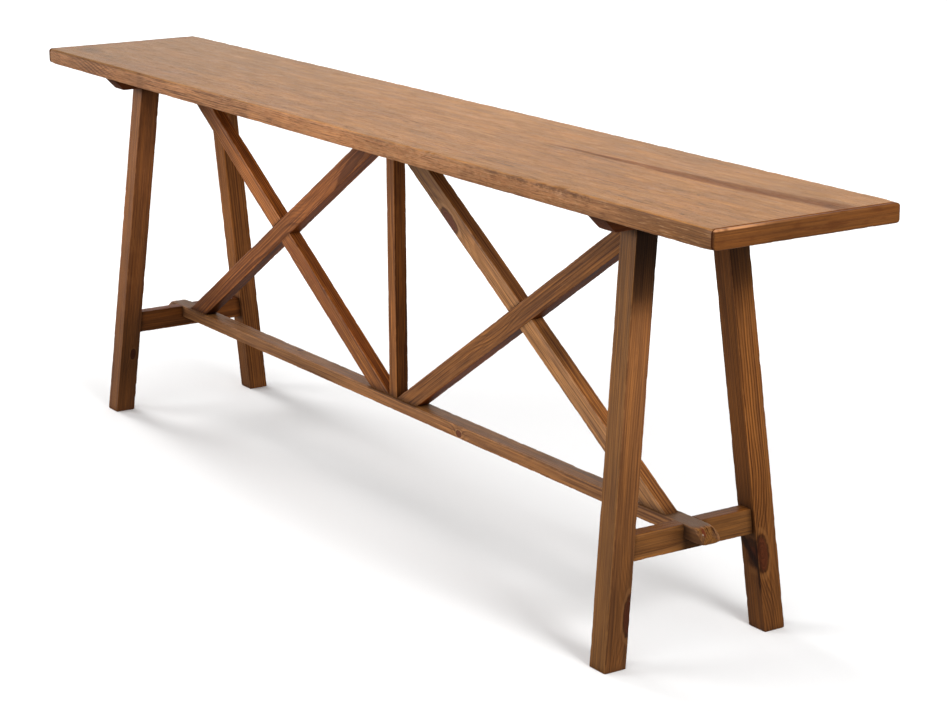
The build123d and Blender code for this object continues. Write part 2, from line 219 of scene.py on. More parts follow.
def sweep(mem, half, rads, keys, gap_s, gap_x, seed, wave=0.25, dent=0.5,
          level=0.0, radius=None, bend=None, extra=None):
    ha, hb = half
    rings = stations(keys, gap_s)
    S, A, B, NA, NB, E, K = [], [], [], [], [], [], []
    for s0, kA, kB, inset, which in rings:
        rr = list(rads) if radius is None else [radius(s0, k) for k in range(4)]
        pts, nrm, near, corner = section(ha, hb, rr, gap_x, rads)
        a, b = pts[:, 0], pts[:, 1]
        a = a * (1 - inset / ha)
        b = b * (1 - inset / hb)
        a, b = clip(which, a, b, level)
        s = s0 + kA * a + kB * b
        S.append(s), A.append(a), B.append(b)
        NA.append(nrm[:, 0]), NB.append(nrm[:, 1]), E.append(near), K.append(corner)
    S, A, B, NA, NB, E, K = (np.array(v) for v in (S, A, B, NA, NB, E, K))
    # slow hand-planed waves on the flats, bruises along the arrises, all inwards
    sink = wave * octaves(S / 90, A / 16, B / 16, seed, 3)
    bruise = octaves(S / 14, K * 3.3, K * 0.0, seed + 5, 2)
    sink = sink + dent * E**2 * np.clip((bruise - 0.55) / 0.3, 0, 1)
    long_wear = octaves(S / 55, K * 5.1, K * 0.0, seed + 9, 2)
    sink = sink + 0.6 * dent * E**2 * long_wear
    if extra is not None:
        sink = sink + extra(S, A, B, E, K)
    lapped = np.array([r[4] is not None for r in rings])
    keep = 1 - lapped[:, None] * (np.abs(B - level) < 0.01)
    A2, B2 = A - NA * sink * keep, B - NB * sink * keep
    if bend is not None:
        S, A2, B2 = bend(S, A2, B2)
    P = mem.world(S, A2, B2)
    n = P.shape[1]
    bm = bmesh.new()
    grid = [[bm.verts.new(Vector(p) * 0.001) for p in row] for row in P]
    for i in range(len(grid) - 1):
        r0, r1 = grid[i], grid[i + 1]
        for j in range(n):
            k = (j + 1) % n
            bm.faces.new((r0[j], r0[k], r1[k], r1[j]))
    bm.faces.new(grid[0][::-1])
    bm.faces.new(grid[-1])
    bmesh.ops.remove_doubles(bm, verts=bm.verts, dist=2e-6)
    bmesh.ops.dissolve_degenerate(bm, edges=bm.edges, dist=1e-6)
    bmesh.ops.recalc_face_normals(bm, faces=bm.faces)
    me = bpy.data.meshes.new(mem.name)
    bm.to_mesh(me)
    bm.free()
    ob = bpy.data.objects.new(mem.name, me)
    bpy.context.scene.collection.objects.link(ob)
    mem.ob = ob
    return ob


# ------------------------------------------------------------------
# bores that the visible screw heads sit in
# ------------------------------------------------------------------
def bore(ob, places, axis):
    """places: points (mm) at the face of each screw head; axis points out of the wood."""
    ax = Vector(axis).normalized()
    side = ax.orthogonal().normalized()
    up = ax.cross(side)
    bm = bmesh.new()
    for p in places:
        c = Vector(p)
        prof = [(14.0, 4.75), (-0.7, 4.75), (-3.0, 2.4), (-5.0, 2.4)]
        rows = []
        for d, r in prof:
            rows.append([
                bm.verts.new((c + ax * d + side * (r * cos(t)) + up * (r * sin(t))) * 0.001)
                for t in (2 * pi * k / 28 for k in range(28))
            ])
        for r0, r1 in zip(rows, rows[1:]):
            for j in range(28):
                k = (j + 1) % 28
                bm.faces.new((r0[j], r0[k], r1[k], r1[j]))
        bm.faces.new(rows[0][::-1])
        bm.faces.new(rows[-1])
    bmesh.ops.recalc_face_normals(bm, faces=bm.faces)
    me = bpy.data.meshes.new("cutter")
    bm.to_mesh(me)
    bm.free()
    cutter = bpy.data.objects.new("cutter", me)
    bpy.context.scene.collection.objects.link(cutter)
    mod = ob.modifiers.new("bores", "BOOLEAN")
    mod.operation, mod.solver, mod.object = "DIFFERENCE", "EXACT", cutter
    bpy.context.view_layer.update()
    dg = bpy.context.evaluated_depsgraph_get()
    done = bpy.data.meshes.new_from_object(ob.evaluated_get(dg), depsgraph=dg)
    ob.modifiers.remove(mod)
    old = ob.data
    ob.data = done
    done.name = ob.name
    bpy.data.meshes.remove(old)
    bpy.data.objects.remove(cutter)
    bpy.data.meshes.remove(me)


# ------------------------------------------------------------------
# node helpers: formulas written as arithmetic on sockets
# ------------------------------------------------------------------
class V:
    def __init__(self, g, sock):
        self.g, self.s = g, sock

    def __add__(self, o): return self.g.math("ADD", self, o)
    def __radd__(self, o): return self.g.math("ADD", o, self)
    def __sub__(self, o): return self.g.math("SUBTRACT", self, o)
    def __rsub__(self, o): return self.g.math("SUBTRACT", o, self)
    def __mul__(self, o): return self.g.math("MULTIPLY", self, o)
    def __rmul__(self, o): return self.g.math("MULTIPLY", o, self)
    def __truediv__(self, o): return self.g.math("DIVIDE", self, o)
    def __neg__(self): return self.g.math("MULTIPLY", self, -1.0)


class Graph:
    def __init__(self, mat):
        mat.use_nodes = True
        self.t = mat.node_tree
        self.t.nodes.clear()
        self.count = 0
        self.dull = None          # where the paint takes the polish off

    def node(self, kind, **props):
        n = self.t.nodes.new(kind)
        n.location = (220 * (self.count % 14), -190 * (self.count // 14))
        self.count += 1
        for k, v in props.items():
            setattr(n, k, v)
        return n

    def put(self, sock, v):
        if isinstance(v, V):
            self.t.links.new(v.s, sock)
        elif v is not None:
            sock.default_value = v

    def math(self, op, a, b=None, c=None, clamp=False):
        n = self.node("ShaderNodeMath", operation=op, use_clamp=clamp)
        for i, v in enumerate((a, b, c)):
            if v is not None:
                self.put(n.inputs[i], v)
        return V(self, n.outputs[0])

    def absolute(self, a): return self.math("ABSOLUTE", a)
    def sqrt(self, a): return self.math("SQRT", a)
    def maxi(self, a, b): return self.math("MAXIMUM", a, b)
    def mini(self, a, b): return self.math("MINIMUM", a, b)
    def fract(self, a): return self.math("FRACT", a)
    def floor(self, a): return self.math("FLOOR", a)
    def exp(self, a): return self.math("EXPONENT", a)
    def inv(self, a): return self.math("SUBTRACT", 1.0, a)

    def smooth(self, x, lo, hi):
        n = self.node("ShaderNodeMapRange", interpolation_type="SMOOTHSTEP")
        self.put(n.inputs["Value"], x)
        self.put(n.inputs["From Min"], lo)
        self.put(n.inputs["From Max"], hi)
        return V(self, n.outputs["Result"])

    def vec(self, x, y, z):
        n = self.node("ShaderNodeCombineXYZ")
        for i, v in enumerate((x, y, z)):
            self.put(n.inputs[i], v)
        return V(self, n.outputs[0])

    def split(self, v):
        n = self.node("ShaderNodeSeparateXYZ")
        self.put(n.inputs[0], v)
        return [V(self, o) for o in n.outputs]

    def noise(self, vec, detail=2.0, rough=0.5):
        n = self.node("ShaderNodeTexNoise", noise_dimensions="3D")
        self.put(n.inputs["Vector"], vec)
        n.inputs["Scale"].default_value = 1.0
        n.inputs["Detail"].default_value = detail
        n.inputs["Roughness"].default_value = rough
        return V(self, n.outputs["Fac"])

    def white(self, x):
        n = self.node("ShaderNodeTexWhiteNoise", noise_dimensions="1D")
        self.put(n.inputs["W"], x)
        return V(self, n.outputs["Value"])

    def mix(self, fac, a, b, blend="MIX"):
        n = self.node("ShaderNodeMix", data_type="RGBA", blend_type=blend)
        n.clamp_factor = True
        self.put(n.inputs[0], fac)
        self.put(n.inputs[6], a if isinstance(a, V) else (*a, 1.0))
        self.put(n.inputs[7], b if isinstance(b, V) else (*b, 1.0))
        return V(self, n.outputs[2])

    def gain(self, col, k):
        # colour times a number
        return self.mix(1.0, col, self.vec_colour(k), "MULTIPLY")

    def vec_colour(self, k):
        n = self.node("ShaderNodeCombineXYZ")
        for i in range(3):
            self.put(n.inputs[i], k)
        return V(self, n.outputs[0])

    def curve(self, x, pts):
        # piecewise line through (x, y), y from 0 to 1
        lo, hi = pts[0][0], pts[-1][0]
        t = (x - lo) / (hi - lo)
        n = self.node("ShaderNodeFloatCurve")
        c = n.mapping.curves[0]
        xy = [((p[0] - lo) / (hi - lo), p[1]) for p in pts]
        c.points[0].location, c.points[1].location = xy[0], xy[-1]
        for p in xy[1:-1]:
            c.points.new(*p)
        n.mapping.update()
        self.put(n.inputs["Value"], t)
        return V(self, n.outputs[0])

    def spot(self, x, y, cx, cy, rx, ry, soft=0.5):
        # soft-edged oval
        d = self.sqrt(self.math("POWER", (x - cx) / rx, 2.0) + self.math("POWER", (y - cy) / ry, 2.0))
        return self.inv(self.smooth(d, 1 - soft, 1 + soft))


# ------------------------------------------------------------------
# stained pine, grown in the member's own frame
# ------------------------------------------------------------------
EARLY = (0.335, 0.146, 0.051)
LATE = (0.120, 0.041, 0.0125)
AMBER = (0.385, 0.140, 0.036)
UMBER = (0.190, 0.084, 0.034)
ROSE = (0.230, 0.074, 0.029)
WORN = (0.56, 0.255, 0.105)


def pine(name, half, pith, tilt=(0.0, 0.0), ring=4.0, seed=0.0, late=0.75,
         wander=6.0, knots=(), tone=1.0, red=0.0, wear=1.0, flecks=0.5,
         axis=(1, 0, 0), streak=0.5, paint=None, blotch=0.5, rough=0.46, worn=WORN,
         wear_faces=None, wear_w=3.0, end_cut=0.62,
         shade=None, gloss=0.07, mottle=0.35):
    """half, pith, knots: millimetres in the member's section. A knot is
    (s, a, b, radius, way through: 'a' or 'b', stretch along the grain); with a
    seventh value only the grain swells round it. tone is three numbers."""
    mat = bpy.data.materials.new(name)
    g = Graph(mat)
    att = g.node("ShaderNodeAttribute", attribute_name="wc", attribute_type="GEOMETRY")
    wc = V(g, att.outputs["Vector"])
    s, a, b = g.split(wc)            # millimetres
    gr = V(g, g.node("ShaderNodeAttribute", attribute_name="grime_and_painted_shadow",
                     attribute_type="GEOMETRY").outputs["Fac"])
    geo = g.node("ShaderNodeNewGeometry")
    dot = g.node("ShaderNodeVectorMath", operation="DOT_PRODUCT")
    g.t.links.new(geo.outputs["True Normal"], dot.inputs[0])
    dot.inputs[1].default_value = Vector(axis).normalized()
    endf = g.smooth(g.absolute(V(g, dot.outputs["Value"])), end_cut, end_cut + 0.18)

    # distance from the pith, which wanders
    warp = g.noise(g.vec(s * 0.0024 + seed, a * 0.011, b * 0.011), 2.0, 0.5) - 0.5
    warp2 = g.noise(g.vec(s * 0.011 + seed, a * 0.05, b * 0.05), 2.0, 0.5) - 0.5
    ra = a - (s * tilt[0] + pith[0])
    rb = b - (s * tilt[1] + pith[1])
    r = g.sqrt(ra * ra + rb * rb) + warp * (2 * wander) + warp2 * 2.2
    knot_mask = knot_core = halo = None
    for ks, ka, kb, kr, way, *more in knots:
        stretch = more[0] if more else 1.45
        ghost = len(more) > 1
        q, kq = (b, kb) if way == "a" else (a, ka)
        depth, kd = (a, ka) if way == "a" else (b, kb)
        ds = (s - ks) / (kr * stretch)
        dq = (q - kq) / kr
        d2 = ds * ds + dq * dq
        # a knot only shows on the faces it comes out through
        reach = g.inv(g.smooth(g.absolute(depth - kd), kr * 1.6, kr * 3.0))
        swell = g.exp(d2 * -0.16) * (kr * 1.25)
        r = r + swell * reach
        if ghost:
            continue
        d = g.sqrt(d2) + (g.noise(g.vec(s * 0.09 + seed, q * 0.13, depth * 0.05), 2.0) - 0.5) * 0.35
        m = g.inv(g.smooth(d, 0.86, 1.10)) * reach
        rim = g.inv(g.smooth(g.absolute(d - 1.02), 0.03, 0.20)) * reach
        h = g.inv(g.smooth(g.absolute(d - 1.36), 0.05, 0.26)) * reach
        halo = h if halo is None else g.maxi(halo, h)
        core = g.fract(d * 3.2 + g.noise(g.vec(s * 0.05, q * 0.08, seed), 2.0) * 1.5)
        knot_mask = m if knot_mask is None else g.maxi(knot_mask, m)
        k = g.maxi(rim * 0.95, core * m * 0.55)
        knot_core = k if knot_core is None else g.maxi(knot_core, k)

    gi = r / ring + seed * 3.7
    gi = gi + (g.noise(g.vec(g.floor(gi) * 0.37, seed, 0.0), 0.0) - 0.5) * 0.0
    f = g.fract(gi)
    rnd = g.white(g.floor(gi) + seed)
    lw = g.smooth(f, 0.25, 0.88) * g.inv(g.smooth(f, 0.90, 1.0))
    lw = lw * (rnd * 0.65 + 0.35)
    # the band of rings changes in strength over the section
    band = g.noise(g.vec(s * 0.0015 + seed * 2, r * 0.035, 0.3), 2.0)
    lw = lw * g.smooth(band, 0.22, 0.68)

    fibre = g.noise(g.vec(s * 0.010 + seed, a * 0.62, b * 0.62), 3.0, 0.6)
    fine = g.noise(g.vec(s * 0.035, a * 1.9 + seed, b * 1.9), 2.0, 0.6)
    slow = g.noise(g.vec(s * 0.0035 + seed * 5, a * 0.035, b * 0.035), 3.0, 0.55)
    mott = g.noise(g.vec(s * 0.016 + seed * 3, a * 0.06, b * 0.06), 3.0, 0.6)

    strand = g.noise(g.vec(s * 0.0042 + seed, a * 0.30, b * 0.30), 2.0, 0.66)
    hair = g.noise(g.vec(s * 0.0075 + seed * 2, a * 0.85, b * 0.85), 1.0, 0.5)
    col = g.mix(g.smooth(slow, 0.40, 0.72) * blotch, EARLY, AMBER) if blotch else g.mix(0.0, EARLY, AMBER)
    col = g.mix(g.smooth(strand, 0.48, 0.66) * (1.3 * streak), col, (0.500, 0.205, 0.058))
    col = g.mix(g.smooth(strand, 0.50, 0.33) * (1.3 * streak), col, (0.150, 0.062, 0.027))
    col = g.mix(lw * late, col, LATE)
    col = g.mix(g.smooth(hair, 0.56, 0.68) * (1.1 * streak), col, (0.115, 0.043, 0.017))
    if halo is not None:
        col = g.mix(halo * 0.55, col, (0.470, 0.215, 0.080))
    col = g.mix(g.smooth(mott, 0.52, 0.76) * mottle, col, UMBER)
    col = g.mix(g.smooth(mott, 0.46, 0.26) * (mottle * 0.8), col, (0.460, 0.200, 0.068))
    if red:
        col = g.mix(g.smooth(slow, 0.62, 0.30) * red, col, ROSE)
    # grain keeps its contrast over the stain
    col = g.gain(col, 1.0 - lw * (0.35 * late))
    col = g.gain(col, (fibre - 0.5) * (0.9 * streak) + 1.0)
    col = g.gain(col, (fine - 0.5) * 0.35 + 1.0)
    # short dark resin flecks
    fl = g.noise(g.vec(s * 0.075, a * 0.95 + seed * 7, b * 0.95), 1.0, 0.5)
    fleck = g.smooth(fl, 0.66, 0.74) * flecks
    col = g.mix(fleck * 0.75, col, (0.055, 0.020, 0.008))
    if knot_mask is not None:
        kc = g.mix(knot_core, (0.185, 0.055, 0.024), (0.042, 0.013, 0.007))
        col = g.mix(knot_mask, col, kc)
        col = g.mix(g.maxi(knot_core - knot_mask, 0.0) * 0.8, col, (0.05, 0.016, 0.009))
    if paint is not None:
        col = paint(g, col, s, a, b, seed)
    # end grain drinks more stain
    col = g.mix(endf, col, g.gain(col, 0.62))
    # worn arrises
    u = half[0] - g.absolute(a)
    v = half[1] - g.absolute(b)
    e = g.maxi(u, v)
    wn = g.noise(g.vec(s * 0.030 + seed, a * 0.02, b * 0.02), 3.0, 0.65)
    wm = g.inv(g.smooth(e, 0.2, (wn * 2.0) * wear_w)) * g.smooth(wn, 0.42, 0.62)
    if wear_faces is not None:
        wm = wm * wear_faces(g, s, a, b)
    col = g.mix(wm * (0.85 * wear), col, worn)
    # grime gathered in the joints; on the stretchers the same attribute also carries painted shadow by the long
    # stretcher's ends
    gn = g.noise(g.vec(s * 0.06, a * 0.2, b * 0.2 + seed), 3.0, 0.6)
    gm = g.math("MULTIPLY", gr, gn + 0.45, clamp=True)
    col = g.mix(gm * 0.85, col, (0.030, 0.012, 0.006))
    if tone != 1.0:
        col = g.mix(1.0, col, tone, "MULTIPLY")
    if shade is not None:
        col = shade(g, col, s, a, b)

    bsdf = g.node("ShaderNodeBsdfPrincipled")
    g.put(bsdf.inputs["Base Color"], col)
    ro = (fibre - 0.5) * 0.30 + rough + lw * -0.07 + fleck * 0.2 + gm * 0.25 - wm * 0.06
    ro = ro + (mott - 0.5) * 0.16
    if g.dull is not None:
        ro = ro + g.dull * 0.5
    g.put(bsdf.inputs["Roughness"], g.math("MAXIMUM", g.mini(ro, 0.95), 0.2))
    bsdf.inputs["IOR"].default_value = 1.5
    bsdf.inputs["Specular IOR Level"].default_value = gloss
    hgt = lw * 0.55 + (fibre - 0.5) * 0.7 + (fine - 0.5) * 0.45 - fleck * 0.8 - g.smooth(hair, 0.56, 0.68) * 0.4
    if knot_core is not None:
        hgt = hgt - knot_core * 0.5
    bump = g.node("ShaderNodeBump")
    bump.inputs["Strength"].default_value = 0.55
    bump.inputs["Distance"].default_value = 0.00035
    g.put(bump.inputs["Height"], hgt)
    g.t.links.new(bump.outputs["Normal"], bsdf.inputs["Normal"])
    out = g.node("ShaderNodeOutputMaterial")
    g.t.links.new(bsdf.outputs[0], out.inputs[0])
    return mat


def painted_light_along(half, side, side_tint, front, front_tint):
    """Painted light and shade along the piece, partly the stain's own unevenness: numbers at places along it, for the
    +-a faces and for the +-b faces, and a painted light tint for each pair of faces."""
    def shade(g, col, s, a, b):
        u = half[0] - g.absolute(a)
        v = half[1] - g.absolute(b)
        m = g.smooth(v - u, -0.8, 0.8)
        ks = g.curve(s, [(p, k / 2) for p, k in side]) * 2.0
        kf = g.curve(s, [(p, k / 2) for p, k in front]) * 2.0
        col = g.gain(col, ks * m + kf * g.inv(m))
        # painted light and shade: one tint for the +-a faces and one for the +-b faces, lit and shaded copies of one
        # finish
        return g.mix(1.0, col, g.mix(m, front_tint, side_tint), "MULTIPLY")
    return shade


# painted light and shade along each piece, partly its uneven stain: the +-a faces' numbers and tint, then the +-b
# faces' numbers and tint; the right legs' +-a faces darken at the top as the top's painted shadow, and
# brace_right_falling's +-a faces dip as the crossing's painted shadow
PAINTED_LIGHT_ALONG = {
    "leg_front_right": (
        [(0, .86), (100, .76), (200, .88), (330, 1.10), (480, 1.42), (575, 1.42), (615, .95), (655, .36), (741, .22)],
        (1.0, 1.08, 1.3),
        [(0, .85), (120, .97), (300, 1.03), (440, 1.20), (560, 1.06), (741, .86)], (1.02, 1.15, 1.14)),
    "leg_back_right": (
        [(0, 1.05), (200, 1.06), (330, 1.32), (520, 1.36), (600, .98), (655, .48), (741, .32)],
        (1.03, 1.08, 1.08),
        [(0, .62), (200, .65), (330, .80), (430, .90), (560, .80), (741, .62)], (0.98, 1.01, 1.03)),
    "leg_front_left": (
        [(0, .60), (120, .40), (190, .52), (270, .95), (450, 1.25), (560, 1.78), (640, 1.60), (741, .85)],
        (0.97, 1.06, 1.23),
        [(0, .76), (120, .72), (250, .82), (420, 1.03), (560, 1.22), (650, 1.17), (741, .92)], (1.05, 1.13, 0.97)),
    "leg_back_left": (
        [(0, .78), (180, .85), (300, 1.15), (560, 1.12), (741, .90)], (0.99, 1.09, 1.18),
        [(0, .46), (180, .74), (380, 1.13), (500, 1.16), (620, .96), (741, .86)], (0.96, 1.13, 1.34)),
    "brace_left_falling": (
        [(0, 1.02), (100, 1.30), (300, 1.38), (450, 1.22), (600, 1.66), (760, 1.42), (900, 1.1)], (1.0, 1.04, 0.98),
        [(0, .66), (150, .80), (400, .97), (620, 1.26), (720, 1.0), (900, .48)], (1.04, 1.32, 1.78)),
    "brace_left_rising": (
        [(0, .27), (130, .43), (300, .70), (500, .86), (740, 1.16), (900, 1.0)], (0.96, 0.86, 0.52),
        [(0, .66), (150, .80), (300, .96), (500, .95), (620, 1.10), (740, 1.10), (900, .76)], (1.02, 1.18, 1.38)),
    "brace_right_falling": (
        [(0, .85), (180, 1.05), (300, .95), (395, .62), (450, 1.20), (600, 1.33), (760, 1.05), (900, .80)],
        (1.02, 1.04, 1.16),
        [(0, .90), (200, 1.04), (340, 1.12), (450, 1.04), (640, 1.22), (740, .85), (900, .55)], (1.02, 1.27, 1.86)),
    "brace_right_rising": (
        [(0, .90), (230, 1.02), (330, .98), (420, .62), (900, .62)], (1.03, 0.74, 0.38),
        [(0, .93), (200, 1.0), (400, .95), (600, .86), (900, .64)], (1.01, 1.17, 1.39)),
    "post": (
        [(226, .74), (400, .72), (500, .85), (620, .98), (740, .85)], (1.0, 1.05, 0.91),
        [(226, .98), (330, 1.18), (400, 1.26), (500, 1.0), (620, 1.22), (740, .94)], (1.02, 1.26, 1.62)),
    "cross_left": (
        [(-160, .50), (-80, .88), (0, .75), (110, 1.35), (160, 1.30)], (0.96, 1.01, 0.99),
        [(-160, 1.0), (160, .95)], (1.0, 0.92, 0.8)),
    "cross_right": (
        [(-160, 1.02), (-60, 1.12), (-25, .76), (20, .78), (60, .82), (160, .74)], (1.02, 1.1, 1.21),
        [(-160, 1.1), (0, 1.0), (160, .88)], (1.05, 0.95, 0.66)),
    "long": (
        [(-1000, 1.0), (-760, .82), (-545, .95), (-300, .78), (-100, 1.16), (150, 1.22), (400, 1.06), (700, .96), (1000, .98)],
        (1.0, 1.13, 1.46),
        [(-1000, 1.1), (-540, 1.24), (-200, 1.26), (0, 1.10), (330, 1.24), (800, 1.06), (1000, 1.0)], (1.12, 1.18, 1.08)),
    "lipping": ([(-190, .81), (-110, .79), (-50, .69), (30, .76), (190, .83)], (1, 1.10, 1.05), [(-190, .80), (190, .80)], (1, 1.0, .9)),
}


def painted_light_along_of(name, half):
    return painted_light_along(half, *PAINTED_LIGHT_ALONG[name])


def finish_piece(mem, mat, node, grime_and_painted_shadow=None, smooth=35.0):
    ob = mem.ob
    me = ob.data
    n = len(me.vertices)
    co = np.empty(n * 3, np.float32)
    me.vertices.foreach_get("co", co)
    P = co.reshape(-1, 3).astype(float) * 1000.0
    Q = mem.local(P)
    for nm in ("wc", "grime_and_painted_shadow"):
        if nm in me.attributes:
            me.attributes.remove(me.attributes[nm])
    at = me.attributes.new("wc", "FLOAT_VECTOR", "POINT")
    at.data.foreach_set("vector", Q.astype(np.float32).ravel())
    gr = np.zeros(n) if grime_and_painted_shadow is None else np.clip(grime_and_painted_shadow(P, Q), 0, 1)
    at = me.attributes.new("grime_and_painted_shadow", "FLOAT", "POINT")
    at.data.foreach_set("value", gr.astype(np.float32))
    me.materials.clear()
    me.materials.append(mat)
    me.polygons.foreach_set("use_smooth", [True] * len(me.polygons))
    me.set_sharp_from_angle(angle=radians(smooth))
    me.update()
    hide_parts(node)
    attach(ob, "root")


# ------------------------------------------------------------------
# the top
# ------------------------------------------------------------------
slab = Member("tabletop_slab", (0, 0, UNDER + TOP_T / 2), (1, 0, 0), (0, 1, 0), (0, 0, 1))


def chewed(s):
    # two rough stretches of the front upper arris
    a = 0.6 * step(350, 380, s) * (1 - step(425, 470, s))
    b = step(715, 750, s) * (1 - step(835, 870, s))
    return a + b


def slab_radius(s, corner):
    # corners: 0 back upper, 1 front upper, 2 front lower, 3 back lower
    base = 1.6 + 1.4 * float(octaves(s / 120.0, corner * 7.0, 0.0, 31, 3))
    base += 4.0 * float(step(SLAB_HALF - 26, SLAB_HALF + 3, abs(s)))
    if corner == 1:
        base += 3.0 * chewed(s) * float(octaves(s / 26.0, 3.0, 0.0, 8, 3))
        base += 2.6 * float(octaves(s / 70.0, 9.0, 0.0, 12, 3))
    return base


def slab_extra(S, A, B, E, K):
    # the chewed stretch of the front upper arris, and small chips elsewhere
    front = (K == 1) * E**1.5
    chew = chewed(S)
    out = front * (0.8 + 2.2 * chew) * np.clip((octaves(S / 13, 0.5, 0.0, 77, 2) - 0.5) / 0.35, 0, 1)
    return out + (K != 1) * E**2 * 0.5 * np.clip((octaves(S / 20, K * 2.0, 0.0, 71, 2) - 0.6) / 0.3, 0, 1)


ends = 0.35
sweep(
    slab, (TOP_D / 2, TOP_T / 2), (2.5, 2.5, 2.5, 2.5),
    [(-SLAB_HALF, 0, 0, ends, None), (-SLAB_HALF + ends, 0, 0, 0, None),
     (SLAB_HALF - ends, 0, 0, 0, None), (SLAB_HALF, 0, 0, ends, None)],
    6.0, 8.0, 1, wave=0.45, dent=0.4, radius=slab_radius, extra=slab_extra,
)


